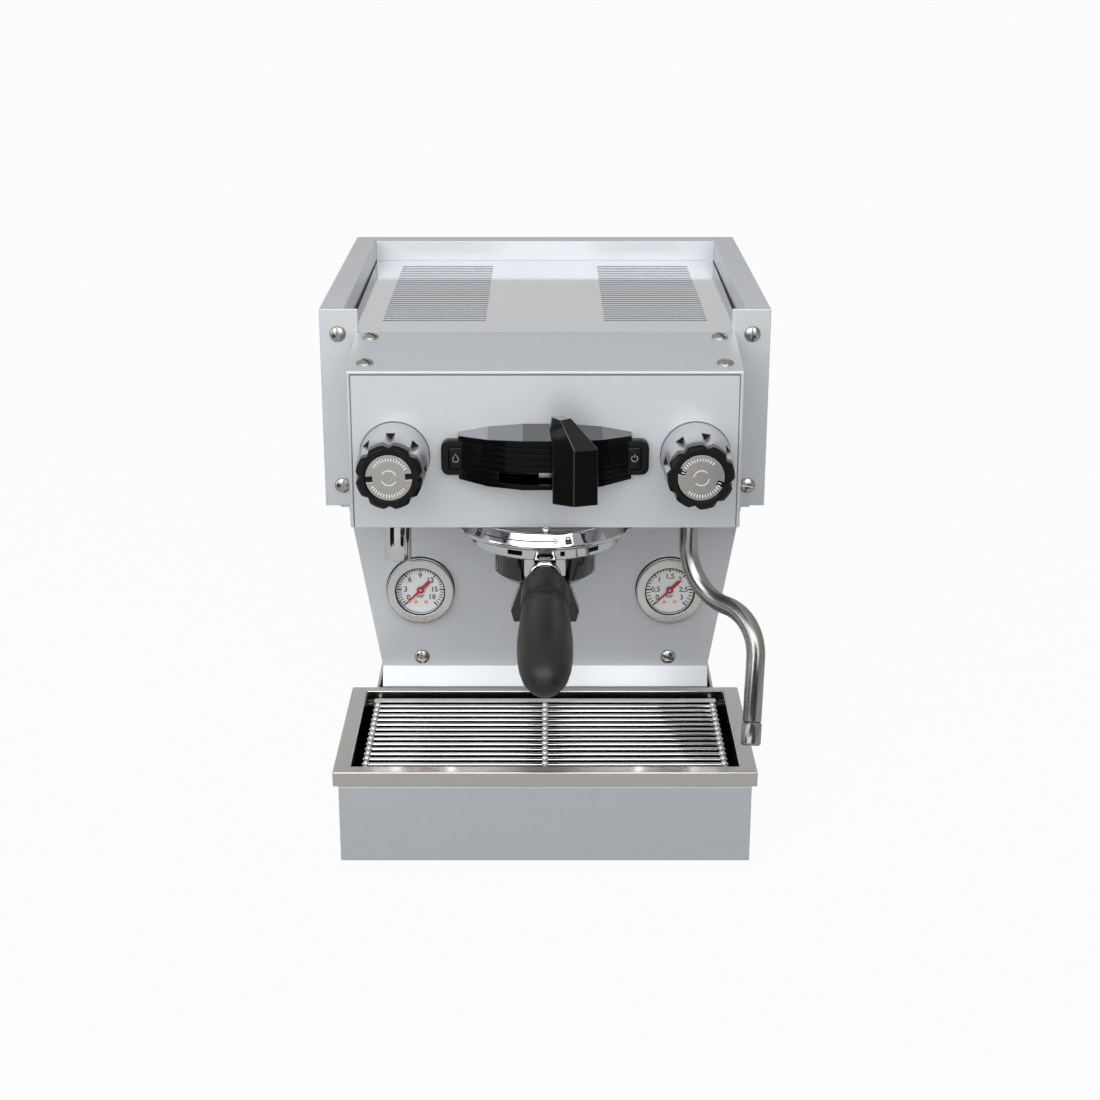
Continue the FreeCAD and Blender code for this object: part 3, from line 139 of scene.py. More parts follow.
lamps_aim = Vector((0.0, -0.05, 0.2))
for name, power, wide, deep, spot in (("front_box", 13.2, 1.9, 0.95, (-0.1, -1.15, 0.98)),
                                      ("overhead_box", 0.8, 1.7, 1.2, (-0.15, -0.35, 1.65)),
                                      ("camera_box", 12.5, 3.0, 1.3, (-0.15, -2.1, 0.75)),
                                      ("left_box", 3.0, 0.5, 1.2, (-1.5, -0.75, 0.7))):
    lamp = bpy.data.lights.new(name, "AREA")
    lamp.energy = power
    lamp.shape = "RECTANGLE"
    lamp.size = wide
    lamp.size_y = deep
    stand = bpy.data.objects.new(name, lamp)
    stand.location = spot
    stand.rotation_euler = (lamps_aim - Vector(spot)).to_track_quat("-Z", "Y").to_euler()
    stand.visible_camera = False
    scene.collection.objects.link(stand)

black_card = bpy.data.materials.new("black_card")
tree = blank(black_card)
matt = tree.nodes.new("ShaderNodeBsdfDiffuse")
matt.inputs["Color"].default_value = (0.02, 0.02, 0.02, 1.0)
out = tree.nodes.new("ShaderNodeOutputMaterial")
wire(tree, (matt.outputs[0], out.inputs[0]))
for name, start, end, foot, head in (("left_card", (-0.53, -0.31), (-0.29, -0.52), 0.0, 0.22),
                                     ("right_card", (0.15, -0.50), (0.30, -0.31), 0.0, 0.22),
                                     ("wand_card", (0.107, -0.160), (0.150, -0.160), 0.100, 0.185)):
    sheet = bpy.data.meshes.new(name)
    sheet.from_pydata([start + (foot,), end + (foot,), end + (head,), start + (head,)], [], [(0, 1, 2, 3)])
    sheet.materials.append(black_card)
    card = bpy.data.objects.new(name, sheet)
    scene.collection.objects.link(card)
    for kind in ("camera", "diffuse", "shadow", "transmission", "volume_scatter"):
        setattr(card, "visible_" + kind, False)

# Base pan: folded sheet steel in satin silver paint, welded at the corners. It carries everything else
# and shows only as the dark floor of the tray bay.


def effect(name, takes, gives):
    """An empty shader node group with named inputs and outputs."""
    made = bpy.data.node_groups.new(name, "ShaderNodeTree")
    for way, sockets in (("INPUT", takes), ("OUTPUT", gives)):
        for title, kind in sockets:
            made.interface.new_socket(title, in_out=way, socket_type="NodeSocket" + kind)
    return made, made.nodes.new("NodeGroupInput"), made.nodes.new("NodeGroupOutput")


grain, taken, given = effect("surface_grain", (("Stretch", "Vector"), ("Scale", "Float")),
                             (("Tone", "Float"),))
where = grain.nodes.new("ShaderNodeTexCoord")
drawn = grain.nodes.new("ShaderNodeVectorMath")
drawn.operation = "MULTIPLY"
fleck = grain.nodes.new("ShaderNodeTexNoise")
fleck.inputs["Detail"].default_value = 5.0
fleck.inputs["Roughness"].default_value = 0.65
wire(grain, (where.outputs["Object"], drawn.inputs[0]), (taken.outputs["Stretch"], drawn.inputs[1]),
     (drawn.outputs[0], fleck.inputs["Vector"]), (taken.outputs["Scale"], fleck.inputs["Scale"]),
     (fleck.outputs[0], given.inputs["Tone"]))

marks, taken, given = effect("handling_marks", (("Scale", "Float"),), (("Smear", "Float"),))
where = marks.nodes.new("ShaderNodeTexCoord")
cloud = marks.nodes.new("ShaderNodeTexNoise")
cloud.inputs["Detail"].default_value = 3.0
cloud.inputs["Distortion"].default_value = 0.8
spread = marks.nodes.new("ShaderNodeMapRange")
spread.inputs["From Min"].default_value = 0.32
spread.inputs["From Max"].default_value = 0.68
wire(marks, (where.outputs["Object"], cloud.inputs["Vector"]),
     (taken.outputs["Scale"], cloud.inputs["Scale"]), (cloud.outputs[0], spread.inputs[0]),
     (spread.outputs[0], given.inputs["Smear"]))


def finish(name, colour, metal, rough, stretch=(1, 1, 1), fine=900.0, tone=0.04, bump=0.05, smear=0.04,
           patch=18.0, coat=0.0, shine=0.5):
    """A finish whose colour flecks with the grain and whose gloss shifts with handling."""
    made = bpy.data.materials.new(name)
    tree = blank(made)
    shader = tree.nodes.new("ShaderNodeBsdfPrincipled")
    shader.inputs["Metallic"].default_value = metal
    shader.inputs["Specular IOR Level"].default_value = shine
    shader.inputs["Coat Weight"].default_value = coat
    shader.inputs["Coat Roughness"].default_value = 0.12
    flecks = tree.nodes.new("ShaderNodeGroup")
    flecks.node_tree = grain
    flecks.inputs["Stretch"].default_value = stretch
    flecks.inputs["Scale"].default_value = fine
    tint = tree.nodes.new("ShaderNodeMix")
    tint.data_type = "RGBA"
    tint.inputs[6].default_value = [c * (1.0 - tone) for c in colour] + [1.0]
    tint.inputs[7].default_value = [c * (1.0 + tone) for c in colour] + [1.0]
    touch = tree.nodes.new("ShaderNodeGroup")
    touch.node_tree = marks
    touch.inputs["Scale"].default_value = patch
    gloss = tree.nodes.new("ShaderNodeMapRange")
    gloss.inputs["To Min"].default_value = max(rough - smear, 0.02)
    gloss.inputs["To Max"].default_value = rough + smear
    relief = tree.nodes.new("ShaderNodeBump")
    relief.inputs["Strength"].default_value = bump
    relief.inputs["Distance"].default_value = 0.0002
    out = tree.nodes.new("ShaderNodeOutputMaterial")
    wire(tree, (flecks.outputs["Tone"], tint.inputs[0]), (tint.outputs[2], shader.inputs["Base Color"]),
         (touch.outputs["Smear"], gloss.inputs[0]), (gloss.outputs[0], shader.inputs["Roughness"]),
         (flecks.outputs["Tone"], relief.inputs["Height"]), (relief.outputs[0], shader.inputs["Normal"]),
         (shader.outputs[0], out.inputs[0]))
    return made


mm = 0.001


def ease(solid, edge, steps, crease):
    """Break an object's sharp edges by so many millimetres."""
    broken = solid.modifiers.new("eased", "BEVEL")
    broken.width = edge * mm
    broken.segments = steps
    broken.limit_method = "ANGLE"
    broken.angle_limit = math.radians(crease)
    broken.harden_normals = True


def dress(node, look, edge=0.5, steps=2):
    """Give a sub-part of the frame its finish, and ease its edges where a width is given."""
    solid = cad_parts[node]
    solid.data.materials.clear()
    solid.data.materials.append(look)
    if edge:
        near = solid.modifiers.new("joined", "WELD")
        near.merge_threshold = 1e-5
        flat = solid.modifiers.new("flat", "DECIMATE")
        flat.decimate_type = "DISSOLVE"
        flat.angle_limit = math.radians(0.3)
        ease(solid, edge, steps, 35.0)


silver = finish("silver_paint", (0.59, 0.613, 0.636), 0.38, 0.34, fine=1400.0, tone=0.05, bump=0.04,
                smear=0.03)
dress("base_pan", silver)

# Feet: four black rubber pads, moulded with a ribbed waist and pressed on to studs under the pan's
# corners.


def skin(name, shells, look, body, stands_for=(), edge=0.0, steps=2, crease=35.0):
    """A piece made of closed shells. Each shell is a stack of outlines in millimetres, all with as
    many points, capped at both ends, or run round into itself where the last outline is the first."""
    shape = bmesh.new()
    for shell in shells:
        rows = [[shape.verts.new(Vector(p) * mm) for p in ring] for ring in shell]
        count = len(rows[0])
        for low, high in zip(rows, rows[1:]):
            for k in range(count):
                shape.faces.new((low[k], low[(k + 1) % count], high[(k + 1) % count], high[k]))
        if shell[0] != shell[-1]:
            shape.faces.new(rows[0])
            shape.faces.new(rows[-1])
        bmesh.ops.remove_doubles(shape, verts=[v for row in rows for v in row], dist=1e-7)
    bmesh.ops.recalc_face_normals(shape, faces=shape.faces)
    mesh = bpy.data.meshes.new(name)
    shape.to_mesh(mesh)
    shape.free()
    mesh.shade_smooth()
    mesh.set_sharp_from_angle(angle=math.radians(crease))
    mesh.materials.append(look)
    made = bpy.data.objects.new(name, mesh)
    scene.collection.objects.link(made)
    if edge:
        ease(made, edge, steps, crease)
    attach(made, body)
    if stands_for:
        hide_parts(*stands_for)


def spun(profile, at=(0, 0, 0), along=(0, 0, 1), points=64):
    """A shell turned on an axis, from pairs of radius and distance along it."""
    turn = Vector((0, 0, 1)).rotation_difference(Vector(along))
    rings = []
    for radius, far in profile:
        ring = []
        for k in range(points):
            angle = 2 * math.pi * k / points
            spot = turn @ Vector((radius * math.cos(angle), radius * math.sin(angle), far)) + Vector(at)
            ring.append(tuple(spot))
        rings.append(ring)
    return rings


rubber = finish("black_rubber", (0.022, 0.022, 0.023), 0.0, 0.72, fine=700.0, tone=0.2, bump=0.25,
                smear=0.08)
foot_of = [(0, 0), (13.4, 0), (14.4, 0.5), (15.2, 1.8), (15.2, 2.8), (14.6, 3.3), (14.6, 4.2), (15.3, 4.7),
           (16, 6.4), (16, 8), (0, 8)]
feet = [spun(foot_of, (x, y, 0)) for x in (-96.5, 96.5) for y in (-112, 203)]
skin("rubber_feet", feet, rubber, "machine", ["feet"])

# Lower body: waisted sides and a rear sheet of painted steel, folded and screwed to the pan with
# slotted screws. Pressed louvres in the rear sheet let the pump's heat out.
for sheet in ("left_side_panel", "right_side_panel", "rear_panel"):
    dress(sheet, silver)
rear_face = 237.0
louvre_pitch = 9
louvres = []
for x in (-66, 6):
    for k in range(9):
        z = 104 + louvre_pitch * k
        lip = [(rear_face, z), (rear_face + 2.4, z + 0.7), (rear_face + 2.4, z + 1.6), (rear_face, z + 5.5)]
        flush = [(rear_face, z + 0.5), (rear_face + 0.1, z + 0.9), (rear_face + 0.1, z + 1.4),
                 (rear_face, z + 4.5)]
        louvres.append([[(s, y, h) for y, h in ring] for s, ring in
                        ((x, flush), (x + 4, lip), (x + 56, lip), (x + 60, flush))])
skin("rear_louvres", louvres, silver, "machine", edge=0.3)

screw_steel = finish("screw_steel", (0.45, 0.435, 0.415), 1.0, 0.2, fine=500.0, tone=0.06, bump=0.02,
                     smear=0.03)
screw_dome = [(5.3, 0.0), (5.3, 0.55), (5.1, 0.95), (4.5, 1.4), (3.6, 1.85), (2.4, 2.2), (1.2, 2.38)]
screw_floor = [(0, 0), (5.15, 0), (4.9, 0.6), (3, 0.85), (0, 0.9)]
half_slot = 0.6


def slotted_heads(name, places, axis, stands_for=()):
    """Round-headed screws with a driver slot, each place with the slot's angle in degrees."""
    turn = Vector((0, 0, 1)).rotation_difference(Vector(axis))
    shells = []
    for x, y, z, twist in places:
        for side in (0, 1):
            middle = math.radians(twist) + math.pi * side
            rings = []
            for radius, high in screw_dome:
                reach = math.acos(half_slot / radius)
                ring = []
                for k in range(13):
                    angle = middle + reach * (k / 6.0 - 1.0)
                    spot = turn @ Vector((radius * math.cos(angle), radius * math.sin(angle), high))
                    ring.append(tuple(spot + Vector((x, y, z))))
                rings.append(ring)
            shells.append(rings)
        shells.append(spun(screw_floor, (x, y, z), axis, 24))
    skin(name, shells, screw_steel, "machine", stands_for, crease=30.0)


rear_screws = [(x, rear_face, z, t) for x, z, t in
               ((-112, 22, 20), (112, 22, 70), (-104, 92, 120), (104, 92, 45), (-124, 196, 10),
                (124, 196, 85), (0, 196, 150), (0, 22, 65))]
slotted_heads("rear_screws", rear_screws, (0, 1, 0))

# Power inlet: a socket moulded in black plastic and clipped into the rear sheet, with three flat
# brass pins.
moulded = finish("moulded_black", (0.024, 0.024, 0.025), 0.0, 0.5, fine=1100.0, tone=0.15, bump=0.16,
                 smear=0.06)
brass = finish("turned_brass", (0.62, 0.43, 0.19), 1.0, 0.28, (1, 1, 14), 420.0, 0.1, 0.05)
dress("power_inlet", moulded, 0.8)
pins = []
for x, z, wide, tall in ((78, 38, 0.9, 2.6), (92, 38, 0.9, 2.6), (85, 43, 1.1, 2.2)):
    pins.append([[(x + a * wide * k, y, z + b * tall * k) for a, b in ((-1, -1), (1, -1), (1, 1), (-1, 1))]
                 for y, k in ((223.0, 1.0), (235.0, 1.0), (236.4, 0.55))])
skin("inlet_pins", pins, brass, "machine", edge=0.25)

# Backsplash: one painted sheet folded forward at its foot into a sloping apron over the tray,
# held by two slotted screws and pierced for the gauges.
dress("backsplash_panel", silver)
splash_face = 5
to_front = (0, -1, 0)
slotted_heads("apron_screws", [(-86, splash_face, 88, 4), (86, splash_face, 88, 63)], to_front,
              ["backsplash_screws"])

# Deck: the painted steel plate between the lower body and the wrap, cut out round the brew group. It
# lies on the sides and carries the boilers.
dress("frame_plate", silver, 0.4)

# Body wrap: one painted sheet folded round the upper half, with lips turned down to the cup shelf,
# and screwed to the frame through its front flanges.
dress("body_wrap", silver, 0.7, 3)
flange_face = -31
flange_screws = [(x, flange_face, z, t) for x, z, t in
                 ((-133.3, 224.2, -15), (-133.3, 325.7, 3), (133.3, 224.2, 82), (133.3, 325.7, 4))]
slotted_heads("flange_screws", flange_screws, to_front, ["wrap_screws"])

# Cup shelf: a polished painted plate that lies on the ledges of the wrap's lips, with two blocks of
# fine vent slots, a painted screen fixed under each block, and a black strip of painted shade down each
# side.
polished_paint = finish("polished_paint", (0.74, 0.76, 0.785), 0.95, 0.07, fine=1400.0, tone=0.03,
                        bump=0.008, smear=0.02)
dress("top_plate", polished_paint, 0)
shelf_top = 327
screen = ((36, -4), (36, 202), (110, 202), (110, -4))
screen_heights = (shelf_top - 1.9, shelf_top - 1.5)
screens = [[[(side * x, y, z) for x, y in screen] for z in screen_heights] for side in (-1, 1)]
skin("vent_screens", screens, silver, "machine")
# Black rubber strips lying in the gaps between the plate and the lips, wider towards the front: painted
# shade.
gap_shade_low = shelf_top + 0.02
gap_shade_high = shelf_top + 0.14
lip_x = 128.9
side_gap_shades = []
for side in (-1, 1):
    side_gap_shades.append([[(side * inner, y, gap_shade_low), (side * lip_x, y, gap_shade_low), (side * lip_x, y, gap_shade_high),
                  (side * inner, y, gap_shade_high)] for y, inner in ((-28, 126.2), (220, 128.2))])
skin("shelf_gap_shade", side_gap_shades, rubber, "machine")

# Nose cover and front panel: a thick folded hood over the group, held by four screws, and the flat
# panel let into its mouth with an even gap, its shade painted on dark grey strips set in the gap.
dress("nose_cover", silver, 0.9, 3)
dress("front_panel", silver, 0.6)
nose_slope = 10.2 / 65
cover_screws = [(x, y, shelf_top - (flange_face - y) * nose_slope, t) for x, y, t in
                ((-111.5, -40, 52), (111.5, -40, 31), (-111.5, -83, 40), (111.5, -83, -8))]
slotted_heads("hood_screws", cover_screws, (0, -0.155, 0.988), ["cover_screws"])
# Dark grey strips down the panel's sides and across its top: painted shade in the gap round the panel.
gap_shade_grey = finish("gap_shade_grey", (0.11, 0.11, 0.115), 0.0, 0.6, fine=900.0, tone=0.1, bump=0.1)
gap_front, gap_back = -95.5, -94.6
gap_shade_strips = []
for x in (-119.8, 119.8):
    upright = ((x - 0.2, gap_front), (x + 0.2, gap_front), (x + 0.2, gap_back), (x - 0.2, gap_back))
    gap_shade_strips.append([[(a, y, z) for a, y in upright] for z in (216.4, 313.9)])
across_top = ((gap_front, 313.9), (gap_back, 313.9), (gap_back, 314.3), (gap_front, 314.3))
gap_shade_strips.append([[(x, y, z) for y, z in across_top] for x in (-119.6, 119.6)])
skin("panel_gap_shade", gap_shade_strips, gap_shade_grey, "machine")

# Paddle housing: a glossy black moulding in five facets, ribbed across its face, with a smoked mirror
# strip on top of each, a slot for the paddle's arm and a satin tab at each end for a button. The strips'
# greys differ as painted reflections. It is screwed to the panel from behind.
gloss_black = finish("gloss_black", (0.003, 0.003, 0.0032), 0.0, 0.09, fine=600.0, tone=0.1, bump=0.012,
                     smear=0.03, patch=30.0, shine=0.1)
panel_face = -96.0
housing_z = 263.5
housing_end = 53.5
most_proud = 24.6
facets = [(-housing_end, 6.0, 27.5), (-35.0, 19.0, 29.6), (-13.5, most_proud, 31.0),
          (13.5, most_proud, 31.0), (35.0, 19.0, 29.6), (housing_end, 6.0, 27.5)]


def across(low, high):
    """The housing's stations between two places across the front: place, how proud, how high."""
    inner = [f for f in facets if low < f[0] < high]
    ends = []
    for x in (low, high):
        for a, b in zip(facets, facets[1:]):
            if a[0] <= x <= b[0]:
                t = (x - a[0]) / (b[0] - a[0])
                ends.append(tuple(a[k] + t * (b[k] - a[k]) for k in range(3)))
                break
    return [ends[0]] + inner + [ends[1]]


def draft(proud):
    """How much taller the housing is at the panel than at its front, above or below."""
    return 4.5 * proud / most_proud


def bar(low, high, part_low, part_high, set_back=0.0, gap=0.0):
    """A length of the housing between two shares of its height, from the panel to its front."""
    rings = []
    for x, proud, tall in across(low, high):
        foot, head = (housing_z + tall * (share - 0.5) for share in (part_low, part_high))
        back_foot = foot - draft(proud) if part_low == 0 else foot
        back_head = head + draft(proud) if part_high == 1 else head
        front = panel_face - proud + set_back
        rings.append([(x, panel_face, back_foot + gap), (x, front, foot + gap), (x, front, head - gap),
                      (x, panel_face, back_head - gap)])
    return rings


slot_low, slot_high, slot_end = 0.106, 0.345, 28
groove_deep, groove_half = 0.7, 0.32
cheeks = ((-housing_end, -slot_end), (slot_end, housing_end))
housing = [bar(-housing_end, housing_end, slot_high, 1, groove_deep),
           bar(-housing_end, housing_end, 0, slot_low, groove_deep)]
housing += [bar(low, high, slot_low, slot_high, groove_deep) for low, high in cheeks]
housing.append(bar(-housing_end, housing_end, 0, slot_low))
rib = (1 - slot_high) / 5
for k in range(5):
    foot = slot_high + k * rib
    gap = 0.0 if k == 4 else groove_half
    housing.append(bar(-housing_end, housing_end, foot, slot_high + (k + 1) * rib, 0.0, gap))
rib = (slot_high - slot_low) / 2
for low, high in cheeks:
    for k in range(2):
        foot = slot_low + k * rib
        housing.append(bar(low, high, foot, slot_low + (k + 1) * rib, 0.0, groove_half))
skin("ribbed_housing", housing, gloss_black, "machine", ["paddle_housing"], 0.45)
# Each lid strip's grey is a painted reflection: one smoked mirror finish in five tones, palest at the left
# end.
painted_reflection_greys = (0.29, 0.19, 0.095, 0.075, 0.14)
lid_thick, lid_gap = 0.12, 0.05
for k, grey in enumerate(painted_reflection_greys):
    smoked = finish("smoked_mirror_painted_reflection_%d" % (k + 1), (grey, grey * 1.01, grey * 1.04), 1.0, 0.13, fine=600.0,
                    tone=0.04, bump=0.01, smear=0.03, patch=30.0)
    rings = []
    for (x, proud, tall), inward in ((facets[k], lid_gap), (facets[k + 1], -lid_gap)):
        back, front = panel_face - 0.1, panel_face + 0.5 - proud
        low = housing_z + tall / 2
        high = low + draft(proud)
        rings.append([(x + inward, y, z) for y, z in
                      ((back, high), (front, low), (front, low + lid_thick), (back, high + lid_thick))])
    skin("housing_lid_%d" % (k + 1), [rings], smoked, "machine", edge=0.02)


def rounded(x, z, wide, tall, corner, y, inset=0.0):
    """A rounded rectangle facing the front, about a middle."""
    ring = []
    wide, tall, corner = wide / 2 - inset, tall / 2 - inset, max(corner - inset, 0.2)
    for k, (sx, sz) in enumerate(((1, 1), (-1, 1), (-1, -1), (1, -1))):
        for turn in range(7):
            angle = math.radians(90 * k + 15 * turn)
            ring.append((x + sx * (wide - corner) + corner * math.cos(angle), y,
                         z + sz * (tall - corner) + corner * math.sin(angle)))
    return ring


satin_black = finish("satin_black", (0.0035, 0.0035, 0.0037), 0.0, 0.24, fine=1000.0, tone=0.12, bump=0.06,
                     smear=0.05, shine=0.22)
tabs = []
for tab_x, key_x in ((-55.6, -55.3), (55.6, 55.3)):
    tab = [rounded(tab_x, housing_z, 17.4, 22, 5, y, inset) for y, inset in
           ((panel_face, 0), (-102.9, 0), (-103.4, 0.35), (-103.5, 0.9))]
    tabs.append(tab + [rounded(key_x, housing_z, 9.4, 14.8, 1.8, y) for y in (-103.5, -99.0)])
skin("button_tabs", tabs, satin_black, "machine", crease=40.0)

# Buttons: two small satin black keys that press into the tabs, one marked with a drop for hot water
# and one with the common power sign, both printed in pale grey.
pale_ink = finish("pale_ink", (0.30, 0.30, 0.31), 0.0, 0.5, fine=800.0, tone=0.1)


def line(points, wide, place, thick=0.12):
    """A flat printed stroke along points on a face; place turns across, up and out into the frame."""
    rings = []
    last = len(points) - 1
    closed = points[0] == points[-1]
    for k, (a, b) in enumerate(points):
        before = points[k - 1] if k else points[last - 1 if closed else 0]
        after = points[k + 1] if k < last else points[1 if closed else last]
        run = Vector((after[0] - before[0], after[1] - before[1])).normalized() * (wide / 2)
        rings.append([place(a - run.y, b + run.x, 0), place(a + run.y, b - run.x, 0),
                      place(a + run.y, b - run.x, thick), place(a - run.y, b + run.x, thick)])
    return rings


def arc(radius, start, end, middle=(0, 0), count=24):
    """Points along an arc from one bearing to another, in degrees from straight up."""
    turns = [math.radians(start + (end - start) * k / count) for k in range(count + 1)]
    return [(middle[0] + radius * math.sin(t), middle[1] + radius * math.cos(t)) for t in turns]


def facing(x, y, z):
    """A place on a face that looks to the front, about a middle: across, up and out."""
    def put(a, b, c):
        return (x + a, y - c, z + b)
    return put


stroke = 0.42
drop = [[(0, 2.9)] + arc(1.75, 68, 292, (0, -0.55)) + [(0, 2.9)]]
power_sign = [arc(1.9, 32, 328), [(0, 0.6), (0, 2.7)]]
for name, x, strokes in (("hot_water", -55.3, drop), ("power", 55.3, power_sign)):
    body = name + "_push"
    key = [rounded(x, housing_z, 8.6, 14, 1.4, y, inset) for y, inset in
           ((-100.6, 0), (-103.6, 0), (-104.0, 0.3), (-104.1, 0.8))]
    skin(name + "_key", [key], satin_black, body, [name + "_button"], crease=50.0)
    on_key = facing(x, -104.08, housing_z)
    sign = [line(points, stroke, on_key) for points in strokes]
    skin(name + "_sign", sign, pale_ink, body)

# Brew paddle: a two-faced black handle that leans back to a narrow top, pinned to a steel arm that
# swings in the housing's slot about the group's axis.
steel_arm = finish("machined_steel", (0.55, 0.54, 0.53), 1.0, 0.24, (1, 1, 10), 500.0, 0.1, 0.05)
dress("paddle_arm", steel_arm, 0.5)
paddle_black = finish("paddle_black", (0.0045, 0.0045, 0.0048), 0.0, 0.14, fine=600.0, tone=0.1, bump=0.012,
                      smear=0.03, patch=30.0, coat=0.5, shine=0.45)
block_of = [(4.3, -128.3), (15.2, -126.9), (28.5, -122.8), (32.2, -131.9), (17.4, -136.5), (4.5, -129.9)]
neck_of = [(2.2, -118), (9, -119.5), (18.4, -122.4), (22.9, -129.5), (12.7, -134.6), (2.8, -126.5)]
top_of = [(3.6, -121.5), (7.5, -121.8), (11.2, -122.2), (15.8, -127.7), (9, -133.1), (4.3, -125.4)]
handle = [[(x, y, z) for x, y in ring] for z, ring in
          ((242, block_of), (277.4, block_of), (287.7, neck_of), (295.5, top_of))]
skin("paddle_grip", [handle], paddle_black, "paddle", ["paddle_handle"], 1.0, 3, 15.0)
group_y = -53
cam_of = ((46, 252.7), (57.2, 252.7), (57.2, 256.2), (55.8, 257.3), (46, 257.3))
cam = []
for bearing in (-4, 2, 8, 14, 20):
    angle = math.radians(bearing)
    cam.append([(r * math.sin(angle), group_y - r * math.cos(angle), z) for r, z in cam_of])
skin("paddle_cam", [cam], steel_arm, "paddle", edge=0.3)

# Valve knobs: a satin sleeve with eight grooves, a black moulded grip that shows in the grooves' ends,
# and a steel disc with raised marks let into the face, pushed together on to the valve's stem.
satin_silver = finish("satin_silver", (0.46, 0.473, 0.487), 0.6, 0.3, (1, 1, 1), 300.0, 0.02, 0.01, 0.03,
                      30.0)
steel = finish("brushed_steel", (0.50, 0.485, 0.465), 1.0, 0.26, (1, 1, 30), 260.0, 0.12, 0.06, 0.04, 25.0)
mark_steel = finish("mark_steel", (0.86, 0.85, 0.83), 0.4, 0.4, fine=900.0, tone=0.05, bump=0.02)
knob_z = 263
sleeve_of = ((0.3, 21.3, 21.3, 2.8), (0.8, 21.7, 21.7, 2.8), (25, 21.5, 21.5, 2.8), (25, 21.5, 17.3, 2.8),
             (39, 20.9, 18.0, 3.0), (40.3, 20.4, 17.9, 3.2), (40.3, 15, 14.9, 1))
grip_of = ((40.3, 20.2, 18.2, 3.3), (46.9, 20.2, 18.2, 3.3), (48.9, 18.5, 17.2, 2.7),
           (49.3, 17.9, 17.0, 2.4), (49.3, 15.1, 15.0, 1), (49.0, 14.7, 14.6, 1), (46.9, 14.5, 14.4, 1))
# A thin dark ring on the panel round each knob's sleeve: painted shadow in the gap under the knob.
knob_shadow_ring_of = [(20, 0), (22.15, 0), (22.15, 0.22), (20, 0.22), (20, 0)]


def grooved(x, first, far, radius, root, half):
    """A knob's outline so far from the panel, with eight grooves of one depth and half-width."""
    ring = []
    side = math.degrees(math.asin(half / radius))
    for k in range(8):
        bearings = [(-side, radius), (0, root), (side, radius)]
        bearings += [(side + (45 - 2 * side) * s / 7, radius) for s in range(1, 7)]
        for turn, r in bearings:
            angle = math.radians(first + 45 * k + turn)
            ring.append((x + r * math.sin(angle), panel_face - far, knob_z + r * math.cos(angle)))
    return ring


def spoke(bearing, *radii):
    """Points on one bearing from a middle, in degrees from straight up."""
    angle = math.radians(bearing)
    return [(r * math.sin(angle), r * math.cos(angle)) for r in radii]


for name, x, first, turned in (("hot_water", -93.5, 0.0, 4.0), ("steam", 93.5, 11.0, -18.0)):
    body = name + "_knob"
    seat = Vector((x, panel_face, knob_z))
    sleeve = [grooved(x, first, *row) for row in sleeve_of]
    skin(name + "_sleeve", [sleeve], satin_silver, body, [name + "_knob_sleeve"],
         crease=30.0)
    ends = []
    for k in range(8):
        angle = math.radians(first + 45 * k)
        outward = Vector((math.sin(angle), 0, math.cos(angle)))
        flank = Vector((math.cos(angle), 0, -math.sin(angle)))
        corners = (outward * 21.4 + flank * 2.75, outward * 21.4 - flank * 2.75, outward * 17.4)
        ends.append([[tuple(seat + c + Vector((0, -far, 0))) for c in corners] for far in (24.9, 25.3)])
    grip = [grooved(x, first, *row) for row in grip_of]
    skin(name + "_grip", [grip] + ends, satin_black, body, [name + "_knob_grip"],
         crease=28.0)
    # Painted shadow: the dark ring at the sleeve's foot.
    skin(name + "_knob_shadow_ring", [spun(knob_shadow_ring_of, seat, to_front)], gap_shade_grey, "machine")
    dress(name + "_knob_disc", steel, 0.3)
    on_disc = facing(x, -144.48, knob_z)
    raised = [line(arc(4.6, turned + a, turned + a + 130), 0.5, on_disc) for a in (-65, 115)]
    for k in range(14):
        bearing = turned + (k - 6.5) * 8.6
        raised += [line(spoke(bearing + flip, 10.4, 12.4), 0.55, on_disc) for flip in (0, 180)]
    skin(name + "_disc_marks", raised, mark_steel, body)

# Pressure gauges: a steel case and bezel set in the backsplash, a white printed dial, a red hand on
# its own pin and a flat glass. One reads the coffee boiler and one the steam boiler.
bezel_steel = finish("bezel_steel", (0.70, 0.685, 0.66), 1.0, 0.2, (1, 1, 1), 240.0, 0.015, 0.004, 0.012,
                     12.0)
dial_paint = finish("dial_white", (0.76, 0.77, 0.78), 0.0, 0.5, fine=900.0, tone=0.02, bump=0.02)
dial_ink = finish("dial_ink", (0.02, 0.02, 0.022), 0.0, 0.5, fine=900.0, tone=0.1)
stud_brass = finish("stud_brass", (0.72, 0.42, 0.13), 0.55, 0.3, fine=900.0, tone=0.1, bump=0.02)
needle_paint = finish("needle_red", (0.42, 0.018, 0.024), 0.0, 0.38, fine=900.0, tone=0.08, bump=0.02)
gauge_glass = bpy.data.materials.new("gauge_glass")
tree = blank(gauge_glass)
pane = tree.nodes.new("ShaderNodeBsdfPrincipled")
pane.inputs["Base Color"].default_value = (1.0, 1.0, 1.0, 1.0)
pane.inputs["Transmission Weight"].default_value = 1.0
pane.inputs["IOR"].default_value = 1.2
wiped = tree.nodes.new("ShaderNodeGroup")
wiped.node_tree = marks
wiped.inputs["Scale"].default_value = 60.0
haze = tree.nodes.new("ShaderNodeMapRange")
haze.inputs["To Min"].default_value = 0.0
haze.inputs["To Max"].default_value = 0.03
through = tree.nodes.new("ShaderNodeBsdfTransparent")
path = tree.nodes.new("ShaderNodeLightPath")
blend = tree.nodes.new("ShaderNodeMixShader")
out = tree.nodes.new("ShaderNodeOutputMaterial")
